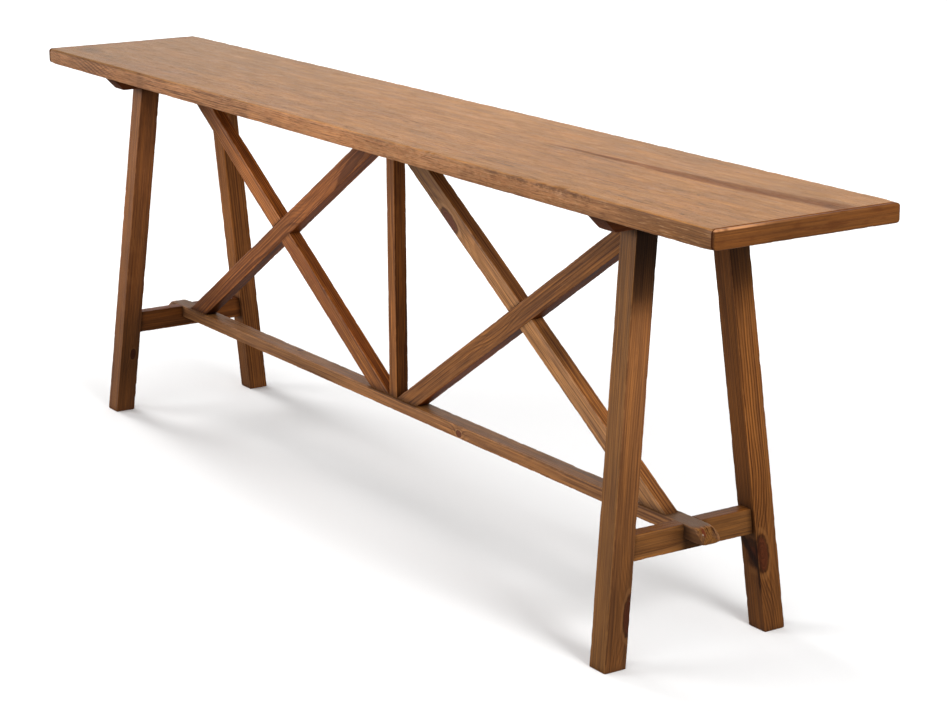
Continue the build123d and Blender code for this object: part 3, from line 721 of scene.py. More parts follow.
def top_paint(g, col, s, a, b, seed):
    # s is the place along the table, a the depth, b the height
    on_top = g.smooth(b, 14.6, 16.2)
    front = g.inv(g.smooth(a, -187.3, -185.6)) * g.inv(on_top)
    # red heartwood streak, widening towards the right end
    mid = g.curve(s, [(380, 0.33), (705, 0.445), (930, 0.53), (1186, 0.82), (1230, 0.86)]) * 100.0
    wid = g.curve(s, [(380, 0.0), (450, 0.08), (705, 0.30), (930, 0.62), (1186, 0.84), (1230, 0.86)]) * 25.0
    wob = (g.noise(g.vec(s * 0.010, a * 0.02, 3.1), 3.0) - 0.5) * 14.0
    d = g.absolute(a - mid + wob)
    inside = g.inv(g.smooth(d, wid * 0.66, wid * 1.22 + 2.0)) * g.smooth(s, 430.0, 560.0) * on_top
    tex = g.noise(g.vec(s * 0.006, a * 0.22, 1.7), 3.0, 0.6)
    col = g.mix(inside * (tex * 0.6 + 0.56), col, (0.160, 0.046, 0.012))
    # thin dark lines of heartwood run out of it to the left
    line = g.curve(s, [(-60, 0.10), (200, 0.22), (450, 0.345), (705, 0.41), (1000, 0.50), (1230, 0.60)]) * 100.0
    ln = g.inv(g.smooth(g.absolute(a - line + wob * 0.5), 0.8, 3.4)) * on_top
    ln = ln * g.smooth(s, 60.0, 260.0) * g.inv(g.smooth(s, 640.0, 760.0))
    col = g.mix(ln * g.smooth(tex, 0.36, 0.56) * 0.55, col, (0.150, 0.046, 0.020))
    # pinkish patch near the left end
    pk = g.spot(s, a, -780.0, -140.0, 190.0, 42.0, 0.7) * on_top
    col = g.mix(pk * 0.35, col, (0.30, 0.118, 0.062))
    for x, y, rx, ry, k in ((-1138, -125, 46, 18, 0.80), (-1016, -132, 34, 14, 0.45), (-1166, -110, 30, 16, 0.45)):
        sp = g.spot(s, a, float(x), float(y), float(rx), float(ry), 0.9) * on_top
        col = g.mix(sp * k, col, (0.100, 0.042, 0.022))
    # small dark holes and bruises
    marks = [
        (881, 137, 5, 2.6), (997, -38, 4, 2.6), (1102, -153, 4.5, 3), (1190, 75, 17, 9),
        (-916, 86, 12, 2.0), (-753, 99, 16, 2.0), (-1128, -48, 9, 1.8), (-1025, -128, 14, 2.0),
        (-448, -51, 10, 1.8), (-278, -96, 14, 1.6), (338, 131, 60, 1.3), (150, -38, 26, 1.6),
        (808, -89, 62, 1.5), (568, -142, 100, 1.5),
    ]
    dark = None
    for x, y, rx, ry in marks:
        m = g.spot(s, a, float(x), float(y), float(rx), float(ry), 0.45)
        dark = m if dark is None else g.maxi(dark, m)
    tear = g.noise(g.vec(s * 0.05, a * 0.5, 0.2), 2.0)
    col = g.mix(dark * on_top * g.smooth(tear, 0.25, 0.6) * 0.8, col, (0.085, 0.032, 0.016))
    # the back third has been rubbed smoother and paler
    back = g.smooth(a, 20.0, 110.0) * on_top
    col = g.mix(back * 0.18, col, (0.40, 0.190, 0.085))
    # front edge: darker towards the right end, a dark upright bruise, pale beyond it
    dr = g.smooth(s, 950.0, 1130.0) * front
    col = g.gain(col, 1.0 - dr * 0.28)
    bruise = g.spot(s, b, -744.0, 0.0, 16.0, 26.0, 0.7) * front
    col = g.mix(bruise * 0.28, col, (0.095, 0.038, 0.018))
    edge_z = g.inv(on_top) * g.inv(g.smooth(a, -186.0, -180.0))
    # partly painted light, partly the face's own paler tone: the front face brightened along its length, most near the
    # middle and least at the right end
    tone = g.curve(s, [(-1230, 0.55), (-1000, 0.60), (-720, 0.52), (-690, 0.78), (-256, 0.84), (-240, 1.0),
                       (100, 0.95), (500, 0.66), (900, 0.52), (1100, 0.30), (1230, 0.25)])
    col = g.gain(col, 1.0 + tone * edge_z)
    # the sawn face is greyer than the rest, and finely ribbed left of the middle
    pale = edge_z * g.inv(g.smooth(s, 900.0, 1150.0) * 0.6)
    col = g.mix(pale, col, g.mix(1.0, col, (1.02, 1.12, 1.58), "MULTIPLY"))
    rib = g.noise(g.vec(s * 0.0075, b * 0.58, 6.3), 2.0, 0.6)
    ribbed = edge_z * g.smooth(s, -730.0, -690.0) * g.inv(g.smooth(s, -262.0, -250.0))
    col = g.mix(g.smooth(rib, 0.47, 0.60) * (ribbed * 0.55 + edge_z * 0.22), col, (0.135, 0.055, 0.030))
    # broken, pitted surface right of the middle
    pit = g.noise(g.vec(s * 0.060, b * 0.30, 7.7), 3.0, 0.62)
    pitted = edge_z * g.smooth(s, -60.0, 120.0) * g.inv(g.smooth(s, 820.0, 960.0))
    col = g.mix(g.smooth(pit, 0.54, 0.70) * pitted * 0.50, col, (0.175, 0.072, 0.036))
    col = g.mix(g.smooth(pit, 0.44, 0.33) * pitted * 0.55, col, (0.680, 0.390, 0.210))
    grit = g.noise(g.vec(s * 0.026, b * 0.42, 2.2), 2.0, 0.6)
    col = g.mix(g.smooth(grit, 0.55, 0.68) * edge_z * 0.65, col, (0.170, 0.070, 0.038))
    col = g.mix(g.smooth(grit, 0.44, 0.32) * edge_z * 0.50, col, (0.660, 0.370, 0.200))
    rag = g.noise(g.vec(s * 0.055, b * 0.12, 0.9), 3.0, 0.65)
    c1 = g.spot(s, b, 575.0, 2.0, 60.0, 9.0, 0.7) * 0.45
    c2 = g.spot(s, b, 800.0, 12.0, 190.0, 5.5, 0.6) * 0.95
    c3 = g.spot(s, b, 330.0, 10.0, 90.0, 7.0, 0.7) * 0.35
    chew = g.maxi(g.maxi(c1, c2), c3) * edge_z
    col = g.mix(chew * g.smooth(rag, 0.44, 0.60) * 0.70, col, (0.160, 0.066, 0.028))
    # the grain leaves the front edge slantwise near the left end
    sl = g.fract((b + s * 0.235) * 0.125 + g.noise(g.vec(s * 0.008, b * 0.03, 3.9), 2.0) * 0.9)
    sl = g.smooth(sl, 0.25, 0.55) * g.inv(g.smooth(sl, 0.70, 0.95))
    col = g.mix(sl * g.spot(s, b, -985.0, 0.0, 95.0, 26.0, 0.8) * edge_z * 0.62, col, (0.100, 0.042, 0.022))
    # the front face darker in a low band and a high band right of the middle; at the left end its upper band darkened
    # as painted shade, damping the highlight there
    low = g.smooth(b, 0.0, -12.0) * g.smooth(s, 400.0, 560.0) * g.inv(g.smooth(s, 920.0, 1040.0))
    col = g.gain(col, 1.0 - low * edge_z * 0.20)
    high = g.smooth(b, 6.0, 13.0) * g.smooth(s, 380.0, 430.0) * g.inv(g.smooth(s, 1000.0, 1100.0))
    col = g.gain(col, 1.0 - high * edge_z * 0.14)
    dull = g.smooth(b, 8.0, 14.0) * g.smooth(s, -850.0, -950.0) * edge_z
    col = g.gain(col, 1.0 - dull * 0.12)
    # polished upper front arris
    ar = g.inv(g.smooth(g.absolute(a + 187.0), 1.5, 4.5)) * g.inv(g.smooth(g.absolute(b - 16.0), 1.2, 4.2))
    an = g.noise(g.vec(s * 0.020, 4.4, 0.7), 3.0, 0.7)
    ar = ar * (g.smooth(s, 100.0, -450.0) * 0.34 + 0.10) * g.inv(c2)
    col = g.mix(ar * g.smooth(an, 0.42, 0.62), col, (0.60, 0.300, 0.145))
    # stain gathered where the lippings meet the slab
    seam = g.smooth(s, SLAB_HALF - 4.8, SLAB_HALF - 2.0) * (on_top * 0.97 + 0.03)
    seam = g.maxi(seam, g.smooth(s, -SLAB_HALF + 3.0, -SLAB_HALF + 0.5) * 0.12)
    col = g.mix(seam * 0.97, col, (0.165, 0.044, 0.010))
    # short dashes along the grain, thick at the front and thin at the back
    dn = g.noise(g.vec(s * 0.017, a * 0.150, 0.5), 3.0, 0.62)
    amount = g.smooth(a, 150.0, -120.0) * 0.55 + 0.22
    amount = amount * (g.smooth(g.noise(g.vec(s * 0.004, a * 0.02, 5.1), 1.0), 0.36, 0.60) * 0.7 + 0.4)
    dash = g.smooth(dn, 0.59, 0.68) * on_top * amount
    g.dull = g.maxi(g.maxi(seam, inside * 0.20), dash * 0.22)
    col = g.mix(dash * 0.90, col, (0.170, 0.076, 0.033))
    tick = g.noise(g.vec(s * 0.030, a * 0.260, 9.5), 1.0, 0.5)
    col = g.mix(g.smooth(tick, 0.62, 0.72) * on_top * amount, col, (0.165, 0.074, 0.034))
    lite = g.noise(g.vec(s * 0.030, a * 0.55, 4.4), 2.0, 0.6)
    col = g.mix(g.smooth(lite, 0.53, 0.70) * on_top * 0.30, col, (0.500, 0.275, 0.135))
    bn = g.noise(g.vec(s * 0.0075, a * 0.050, 2.5), 3.0, 0.62)
    col = g.gain(col, (bn - 0.5) * (on_top * 0.25 + 0.75) + 1.0)
    big = g.noise(g.vec(s * 0.0028, a * 0.018, 8.8), 2.0, 0.5)
    col = g.gain(col, (big - 0.5) * (on_top * 0.36) + 1.0)
    # painted sheen: the top greyer and duller towards the left end
    return g.mix(g.smooth(s, 200.0, -1100.0) * on_top * 0.35, col, (0.235, 0.130, 0.072))


def top_shade(g, col, s, a, b):
    on_top = g.smooth(b, 14.6, 16.2)
    # near the upper front arris, where the left end gets painted shade
    near = g.smooth(a, -183.0, -186.0) * g.smooth(b, 11.0, 14.0)
    # painted light and shade: the front face and the top take their own multipliers, and along the top a painted
    # highlight brightens the middle
    face = g.mix(1.0, col, (0.605, 0.58, 0.50), "MULTIPLY")
    k = g.curve(s, [(-1230, .44), (-900, .46), (-400, .50), (200, .535), (600, .51), (1230, .46)]) * 2.0
    top = g.gain(g.mix(1.0, col, (1.0, 0.985, 0.690), "MULTIPLY"), k)
    # painted sheen: the top greyer and bluer towards the left end
    top = g.mix(g.smooth(s, -300.0, -1200.0), top, g.mix(1.0, top, (1.0, 1.03, 1.12), "MULTIPLY"))
    # painted shade: the left end's upper front arris darker, and rougher, damping the highlight there
    arris_painted_shade = near * g.smooth(s, -350.0, -800.0)
    g.dull = g.maxi(g.dull, arris_painted_shade * 0.6)
    return g.gain(g.mix(on_top, face, top), 1.0 - arris_painted_shade * 0.30)


top_mat = pine(
    "pine_top", (TOP_D / 2, TOP_T / 2), (-470.0, -330.0), tilt=(0.010, -0.008), ring=3.2,
    seed=1.3, late=0.50, wander=11.0, knots=[(-1085, -188, -22, 30, "a", 2.4, True)], flecks=0.75,
    streak=0.22, axis=(1, 0, 0), paint=top_paint, blotch=0.35, rough=0.44, wear_w=2.6, wear=0.5,
    shade=top_shade, gloss=0.07,
)
finish_piece(slab, top_mat, "top_slab")


def lipping_mesh(name, sx, seed):
    mem = Member(name, (sx * (SLAB_HALF + LIP / 2), 0, UNDER + TOP_T / 2), (0, 1, 0), (sx, 0, 0), (0, 0, 1))
    hd = TOP_D / 2
    keys = [(-hd, 0, 0, 0, None)]
    cuts = (0.15, 0.45, 0.9, 1.5, 2.3, 3.3, 4.6, 5.8, 7.2)
    for d in cuts:
        keys.append((-hd + d, 0, 0, 0, None))
    for d in cuts[::-1] + (0.0,):
        keys.append((hd - d, 0, 0, 0, None))

    def bend(S, A, B):
        d = np.clip(hd - np.abs(S), 0, 4.6)
        w = 3.4 + np.sqrt(np.maximum(4.6**2 - (4.6 - d) ** 2, 0))
        r = 7.5
        d = np.clip(hd - np.abs(S), 0, r)
        low = r - np.sqrt(np.maximum(r * r - (r - d) ** 2, 0))
        return S, -LIP / 2 + (A + LIP / 2) * w / 8.0, B * (TOP_T / 2 - low) / (TOP_T / 2)

    sweep(mem, (LIP / 2, TOP_T / 2), (3.2, 0.45, 0.45, 3.2), keys, 5.0, 3.5, seed,
          wave=0.3, dent=0.5, bend=bend)
    return mem


def lipping_paint(g, col, s, a, b, seed):
    # long grain, and the seam's stain on the inner side (deep at the right end only)
    deep = 0.95 if seed > 15.4 else 0.15
    wide = g.inv(g.smooth(s, -TOP_D / 2 + 3.0, -TOP_D / 2 + 7.0)) * 2.2
    seam = g.inv(g.smooth(a, wide + (-LIP / 2 + 1.3), wide + (-LIP / 2 + 2.6)))
    lines = g.noise(g.vec(s * 0.040, a * 0.3, b * 0.75 + seed), 2.0, 0.60)
    col = g.mix(g.smooth(lines, 0.52, 0.68) * 0.16, col, (0.150, 0.045, 0.015))
    col = g.mix(g.smooth(lines, 0.46, 0.34) * 0.16, col, (0.460, 0.175, 0.060))
    cloud = g.noise(g.vec(s * 0.016, 2.0, b * 0.06 + seed), 3.0, 0.6)
    col = g.mix(g.smooth(cloud, 0.50, 0.66) * 0.45, col, (0.190, 0.060, 0.020))
    g.dull = seam
    return g.mix(seam * deep, col, (0.175, 0.050, 0.010))


def lipping_shade(g, col, s, a, b):
    # painted light and shade along the piece, and a painted highlight on the upper arris over its front third
    col = painted_light_along_of("lipping", (LIP / 2, TOP_T / 2))(g, col, s, a, b)
    pn = g.noise(g.vec(s * 0.022, 1.0, 3.3), 3.0, 0.65)
    arris_highlight = g.smooth(b, 12.4, 14.6) * g.smooth(a, -2.2, -0.4)
    arris_highlight = arris_highlight * g.smooth(pn, 0.28, 0.50) * (g.smooth(s, -60.0, -140.0) * 0.82 + g.smooth(s, 60.0, -60.0) * 0.10 + 0.06)
    return g.mix(arris_highlight, col, (0.430, 0.200, 0.088))


for sx, side, seed in ((-1, "left", 41), (1, "right", 42)):
    lip = lipping_mesh("tabletop_lipping_" + side, sx, seed)
    # the lippings' dark tone is partly painted shade, offsetting the near end lamps
    m = pine("pine_lipping_" + side, (LIP / 2, TOP_T / 2), (60.0, -46.0), tilt=(0.002, 0.002), ring=4.0,
             seed=seed * 0.37, late=0.12, wander=3.0, axis=(0, 1, 0), paint=lipping_paint,
             streak=0.28, blotch=0.4, flecks=0.3, wear=0.55, wear_w=2.0, tone=(0.42, 0.32, 0.25),
             shade=lipping_shade if sx > 0 else painted_light_along_of("lipping", (LIP / 2, TOP_T / 2)),
             wear_faces=lambda g, s, a, b: g.smooth(a, -1.5, 1.0))
    finish_piece(lip, m, "end_lipping_" + side)

# ------------------------------------------------------------------
# cleats and rail under the top
# ------------------------------------------------------------------
zc = (UNDER + LEG_TOP) / 2
mid_cleat = CLEAT_HALF - CLEAT_BEVEL / 2
slope = CLEAT_BEVEL / CLEAT_H
for sx, side, seed in ((-1, "left", 51), (1, "right", 52)):
    mem = Member("cleat_wood_" + side, (sx * CLEAT_X, 0, zc), (0, 1, 0), (1, 0, 0), (0, 0, 1))
    sweep(
        mem, (CLEAT_W / 2, CLEAT_H / 2), (0.4, 0.4, 1.5, 1.5),
        [(-mid_cleat, 0, -slope, 0, None), (-110.0, 0, 0, 0, None),
         (110.0, 0, 0, 0, None), (mid_cleat, 0, slope, 0, None)],
        7.0, 6.0, seed, wave=0.2, dent=0.5,
    )
    bore(mem.ob, [(sx * CLEAT_X, y, LEG_TOP + 4.0) for y in (-136.0, -34.0, 34.0, 136.0)], (0, 0, -1))
    # the cleats' dark tone is partly painted shade, as they sit in the top's shadow
    m = pine("pine_cleat_" + side, (CLEAT_W / 2, CLEAT_H / 2), (12.0, -40.0), tilt=(0.02, 0.0), ring=3.6,
             seed=seed * 0.21, late=0.7, axis=(0, 1, 0), tone=(0.34, 0.215, 0.16))

    def cleat_grime(P, Q):
        d = np.abs(P[:, 2] - UNDER)
        legd = np.maximum(np.abs(np.abs(P[:, 1]) - HEAD[1]) - LEG_Y / 2, 0) + (P[:, 2] - LEG_TOP)
        return np.maximum(0.8 * np.exp(-((d / 5) ** 2)), 0.7 * np.exp(-((legd / 6) ** 2)))

    finish_piece(mem, m, "cleat_" + side, cleat_grime)

rail = Member("rail_wood", (0, 0, UNDER - RAIL_H / 2), (1, 0, 0), (0, 1, 0), (0, 0, 1))
sweep(
    rail, (RAIL_W / 2, RAIL_H / 2), (0.4, 0.4, 1.5, 1.5),
    [(-CLEAT_IN, 0, 0, 0, None), (CLEAT_IN, 0, 0, 0, None)], 10.0, 6.0, 61, wave=0.25, dent=0.5,
)
bore(rail.ob, [(x, 0.0, RAIL_UNDER + 9.0) for x in (-640.0, -230.0, 230.0, 640.0)], (0, 0, -1))


def rail_grime(P, Q):
    d = np.abs(P[:, 2] - UNDER)
    out = 0.8 * np.exp(-((d / 5) ** 2))
    for x in (0, HEAD_IN, -HEAD_IN - DRIFT, OUT_HEAD, -OUT_HEAD):
        dx = np.maximum(np.abs(P[:, 0] - x) - 38, 0) + (P[:, 2] - RAIL_UNDER)
        out = np.maximum(out, 0.5 * np.exp(-((dx / 10) ** 2)))
    return out


finish_piece(
    rail, pine("pine_rail", (RAIL_W / 2, RAIL_H / 2), (5.0, -28.0), tilt=(0.003, 0.002), ring=3.8,
               seed=6.1, late=0.7, knots=[(330, 0, -15, 7, "b"), (-510, 6, -15, 5, "b")],
               axis=(1, 0, 0), tone=(0.45, 0.34, 0.27)),
    "top_rail", rail_grime)

# ------------------------------------------------------------------
# legs
# ------------------------------------------------------------------
LEG_LOOKS = {
    # pith, tilt, ring, knots (s, a, b, radius, way), late, red, tone
    "front_left": dict(tone=(0.57, 0.45, 0.36), pith=(60.0, 64.0), tilt=(-0.010, -0.008), ring=3.0, late=0.6, red=0.15, seed=11.3,
                       knots=[(133, 22, 7, 6, "a", 1.8)]),
    "front_right": dict(tone=(0.48, 0.42, 0.34), pith=(-64.0, 62.0), tilt=(0.004, 0.010), ring=2.7, late=0.50, red=0.2, seed=12.1,
                        knots=[(93, 23, 20, 11, "a", 3.0)]),
    "back_left": dict(tone=(0.73, 0.56, 0.41), pith=(60.0, -60.0), tilt=(0.01, 0.0), ring=4.6, late=1.0, red=0.1, seed=13.7,
                      knots=[(310, -22, 4, 8, "a")]),
    "back_right": dict(tone=(0.43, 0.36, 0.28), pith=(-58.0, -66.0), tilt=(-0.006, 0.004), ring=3.2, late=0.85, red=0.2, seed=14.9,
                       knots=[(145, 22, -12, 12, "a", 2.7)]),
}
def bark_paint(g, col, s, a, b, seed):
    # dark bark beside the knot, slanting across the front face and down the arris
    n = (g.noise(g.vec(s * 0.05, a * 0.11, b * 0.05), 2.0) - 0.5) * 16.0
    front = g.inv(g.smooth(b, -21.8, -20.0))
    slant = g.inv(g.smooth(g.absolute(s + a * 1.23 - 147.0 + n), 5.0, 19.0)) * front
    edge = g.inv(g.smooth(g.absolute(a - 20.5), 1.5, 6.0)) * g.smooth(s, 62.0, 92.0) * g.inv(g.smooth(s, 150.0, 186.0))
    side = g.smooth(a, 21.6, 22.6) * g.inv(g.smooth(b, -20.5, -13.0))
    side = side * g.smooth(s, 96.0, 118.0) * g.inv(g.smooth(s, 176.0, 200.0))
    m = g.maxi(g.maxi(slant, edge * front), side)
    return g.mix(m * 0.85, col, (0.038, 0.014, 0.008))


for name, look in LEG_LOOKS.items():
    sy = -1 if name.startswith("front") else 1
    sx = -1 if name.endswith("left") else 1
    o = np.array([sx * FOOT[0], sy * FOOT[1], 0.0])
    h = np.array([sx * HEAD[0], sy * HEAD[1], LEG_TOP])
    L = (h - o) / np.linalg.norm(h - o)
    length = float(np.linalg.norm(h - o))
    mem = Member("leg_wood_" + name, o, L, (1, 0, 0), (0, 1, 0))
    sweep(
        mem, (LEG_X / 2, LEG_Y / 2), (2.0,) * 4,
        [(0.0, 0, 0, 1.3, None), (0.45, 0, 0, 0.5, None), (1.3, 0, 0, 0, None),
         (length, 0, 0, 0, None)],
        7.0, 4.5, 100 + int(look["seed"] * 10), wave=0.3, dent=0.8,
    )
    m = pine("pine_leg_" + name, (LEG_X / 2, LEG_Y / 2), look["pith"], tilt=look["tilt"], ring=look["ring"],
             seed=look["seed"], late=look["late"], red=look["red"], knots=look["knots"], axis=tuple(L),
             flecks=0.35, wear_w=2.6, wander=4.0, wear=0.45, tone=look["tone"], mottle=0.6 if sx < 0 else 0.35,
             shade=painted_light_along_of("leg_" + name, (LEG_X / 2, LEG_Y / 2)),
             paint=bark_paint if name == "back_right" else None)

    def leg_grime(P, Q):
        z = P[:, 2]
        out = 0.75 * np.exp(-(((LEG_TOP - z) / 9) ** 2))
        inner = np.abs(P[:, 1]) - (FOOT[1] - LEG_DY * z - LEG_Y / 2)
        dx = np.maximum(np.abs(np.abs(P[:, 0]) - CROSS_X) - CROSS_T / 2, 0)
        dz = np.maximum(np.maximum(z - S_TOP, CROSS_BOT - z), 0)
        d = np.sqrt(dx**2 + dz**2) + np.maximum(inner, 0) * 1.5
        out = np.maximum(out, 0.8 * np.exp(-((d / 6) ** 2)))
        return np.maximum(out, 0.35 * np.exp(-((z / 9) ** 2)))

    finish_piece(mem, m, "leg_" + name, leg_grime)

# ------------------------------------------------------------------
# stretchers
# ------------------------------------------------------------------
cz = (S_TOP + CROSS_BOT) / 2
for sx, side, seed in ((-1, "left", 71), (1, "right", 72)):
    mem = Member("cross_stretcher_wood_" + side, (sx * CROSS_X, 0, cz), (0, 1, 0), (1, 0, 0), (0, 0, 1))
    e = leg_inner(cz) + 0.4
    hw = LONG_W / 2 + 0.15
    sweep(
        mem, (CROSS_T / 2, CROSS_H / 2), (1.5,) * 4,
        [(-e, 0, LEG_DY, 0, None), (-70.0, 0, 0, 0, None), (-hw, 0, 0, 0, None), (-hw, 0, 0, 0, "drop"),
         (hw, 0, 0, 0, "drop"), (hw, 0, 0, 0, None), (70.0, 0, 0, 0, None), (e, 0, -LEG_DY, 0, None)],
        6.0, 5.0, seed, wave=0.2, dent=0.6, level=LONG_BOT - cz,
    )
    bore(mem.ob, [(sx * CROSS_X, 0.0, CROSS_BOT + 2.0)], (0, 0, -1))
    m = pine("pine_cross_" + side, (CROSS_T / 2, CROSS_H / 2), (-sx * 70.0, 3.0), tilt=(0.0, 0.02), ring=5.2,
             seed=seed * 0.31, late=0.6, axis=(0, 1, 0), wander=5.0, flecks=0.4, wear=0.3,
             tone=(0.44, 0.31, 0.21) if sx < 0 else (0.50, 0.44, 0.35),
             shade=painted_light_along_of("cross_" + side, (CROSS_T / 2, CROSS_H / 2)))

    def cross_grime_and_painted_shadow(P, Q):
        y = np.abs(P[:, 1])
        d1 = leg_inner(P[:, 2]) - y
        d2 = np.abs(y - LONG_W / 2)
        up = np.clip((P[:, 2] - LONG_BOT + 4) / 6, 0, 1) * np.clip((S_TOP - 1 - P[:, 2]) / 2, 0, 1)
        # painted shadow of the long stretcher's end on the outer face, under and before it
        outer = np.clip((np.abs(P[:, 0]) - CROSS_X - CROSS_T / 2 + 2) / 1.5, 0, 1)
        near = np.maximum(y - LONG_W / 2, 0)
        out = np.maximum(0.85 * np.exp(-((d1 / 6) ** 2)), 0.6 * up * np.exp(-((d2 / 4) ** 2)))
        return np.maximum(out, 0.7 * outer * np.exp(-((near / 7) ** 2)))

    finish_piece(mem, m, "cross_stretcher_" + side, cross_grime_and_painted_shadow)

lz = (S_TOP + LONG_BOT) / 2
long = Member("long_stretcher_wood", (0, 0, lz), (1, 0, 0), (0, 1, 0), (0, 0, 1))


def long_bend(S, A, B):
    # bevelled ends: the last stretch is squeezed to the bevel's line
    start = 955.0
    z = B + lz
    over = np.clip(z - (S_TOP - LONG_DROP), 0, None)
    end = LONG_LOW - over / LONG_DROP * (LONG_LOW - LONG_UP)
    k = (end - start) / (LONG_LOW - start)
    far = np.clip(np.abs(S) - start, 0, None)
    return np.sign(S) * (np.minimum(np.abs(S), start) + far * k), A, B


sweep(
    long, (LONG_W / 2, LONG_H / 2), (1.5,) * 4,
    [(-LONG_LOW, 0, 0, 1.0, None), (-LONG_LOW + 1.0, 0, 0, 0, None),
     (LONG_LOW - 1.0, 0, 0, 0, None), (LONG_LOW, 0, 0, 1.0, None)],
    8.0, 5.0, 81, wave=0.3, dent=0.8, bend=long_bend,
    extra=lambda S, A, B, E, K: (E**1.2 * 1.5 + 1.6 * octaves(S / 9, A / 7, B / 7, 83, 2) ** 2)
    * step(978, 1001, np.abs(S)),
)
bore(long.ob, [(x, 0.0, LONG_BOT + 1.0) for x in
               (FOOT_IN + 18, -FOOT_IN - 18, OUT_FOOT - 18, -OUT_FOOT + 18)], (0, 0, -1))


def long_grime_and_painted_shadow(P, Q):
    x, y, z = P.T
    out = np.zeros(len(P))
    top = np.clip((z - S_TOP + 5) / 4, 0, 1)
    for c, w in ((0, POST_X / 2), (FOOT_IN, 38), (-FOOT_IN, 38), (OUT_FOOT, 38), (-OUT_FOOT, 38)):
        d = np.maximum(np.abs(x - c) - w, 0)
        out = np.maximum(out, 0.75 * top * np.exp(-((d / 6) ** 2)))
    d = np.abs(np.abs(np.abs(x) - CROSS_X) - CROSS_T / 2)
    under = np.clip((S_TOP - 1.5 - z) / 2, 0, 1)
    out = np.maximum(out, 0.7 * under * np.exp(-((d / 4) ** 2)))
    # painted shadow on the sides of the ends beyond the cross stretchers, fading towards the end
    stub = np.clip((np.abs(x) - CROSS_X - CROSS_T / 2) / 26, 0, 1)
    side = under * np.clip((np.abs(y) - LONG_W / 2 + 2) / 2, 0, 1) * (np.abs(x) > CROSS_X)
    return np.maximum(out, side * (1 - stub))


def long_paint(g, col, s, a, b, seed):
    # greyer, darker tops towards the ends, painted shadow on the sides beyond the cross stretchers, and the sawn ends'
    # own stripes
    top = g.smooth(b, 11.6, 12.6)
    far = g.smooth(g.absolute(s), 780.0, 960.0)
    col = g.mix(top * (far * 0.55 + 0.2), col, (0.120, 0.068, 0.044))
    end = g.smooth(g.absolute(s) + b * 1.3333, 990.0, 994.0)
    # painted shadow on the sides beyond the cross stretchers, short of the sawn end
    side = g.smooth(g.absolute(a), LONG_W / 2 - 2.2, LONG_W / 2 - 0.8) * g.smooth(g.absolute(s), 925.0, 945.0)
    col = g.mix(side * g.inv(end) * 0.72, col, (0.135, 0.060, 0.024))
    n = g.noise(g.vec(s * 0.01, a * 0.42 + 3.0, b * 0.05), 2.0, 0.7)
    col = g.mix(end * g.smooth(n, 0.50, 0.60), col, (0.420, 0.190, 0.070))
    col = g.mix(end * g.smooth(n, 0.47, 0.38), col, (0.080, 0.028, 0.013))
    col = g.mix(g.spot(a, b, -6.0, 6.0, 3.0, 6.0, 0.5) * end, col, (0.260, 0.062, 0.032))
    return g.mix(g.spot(a, b, -9.5, 3.0, 1.6, 1.3, 0.5) * end, col, (0.620, 0.460, 0.340))


finish_piece(
    long, pine("pine_long", (LONG_W / 2, LONG_H / 2), (4.0, -9.0), tilt=(0.0035, 0.001), ring=3.4,
               seed=8.3, late=0.55, red=0.1, axis=(1, 0, 0), wander=4.0, blotch=0.4, flecks=0.45,
               wear=0.35, paint=long_paint, end_cut=0.45, tone=(0.68, 0.63, 0.56),
               mottle=0.5, shade=painted_light_along_of("long", (LONG_W / 2, LONG_H / 2)),
               knots=[(-420, 10, 12, 6, "b"), (250, -19, -3, 6, "a")]),
    "long_stretcher", long_grime_and_painted_shadow)

# ------------------------------------------------------------------
# post and braces
# ------------------------------------------------------------------
post = Member("post_wood", (0, 0, 0), (0, 0, 1), (1, 0, 0), (0, 1, 0))
sweep(
    post, (POST_X / 2, POST_Y / 2), (1.5,) * 4,
    [(S_TOP - 0.3, 0, 0, 0, None), (RAIL_UNDER + 0.3, 0, 0, 0, None)], 7.0, 4.0, 91, wave=0.25, dent=0.6,
)


def post_grime(P, Q):
    z = P[:, 2]
    return np.maximum(0.7 * np.exp(-(((z - S_TOP) / 9) ** 2)), 0.8 * np.exp(-(((RAIL_UNDER - z) / 10) ** 2)))


finish_piece(
    post, pine("pine_post", (POST_X / 2, POST_Y / 2), (-16.0, 40.0), tilt=(0.004, 0.01), ring=3.2,
               seed=9.7, late=0.75, axis=(0, 0, 1), red=0.2, wander=3.0, wear_w=2.2, wear=0.5, tone=(0.64, 0.46, 0.31),
               mottle=0.6, streak=0.7, shade=painted_light_along_of("post", (POST_X / 2, POST_Y / 2))),
    "center_post", post_grime)

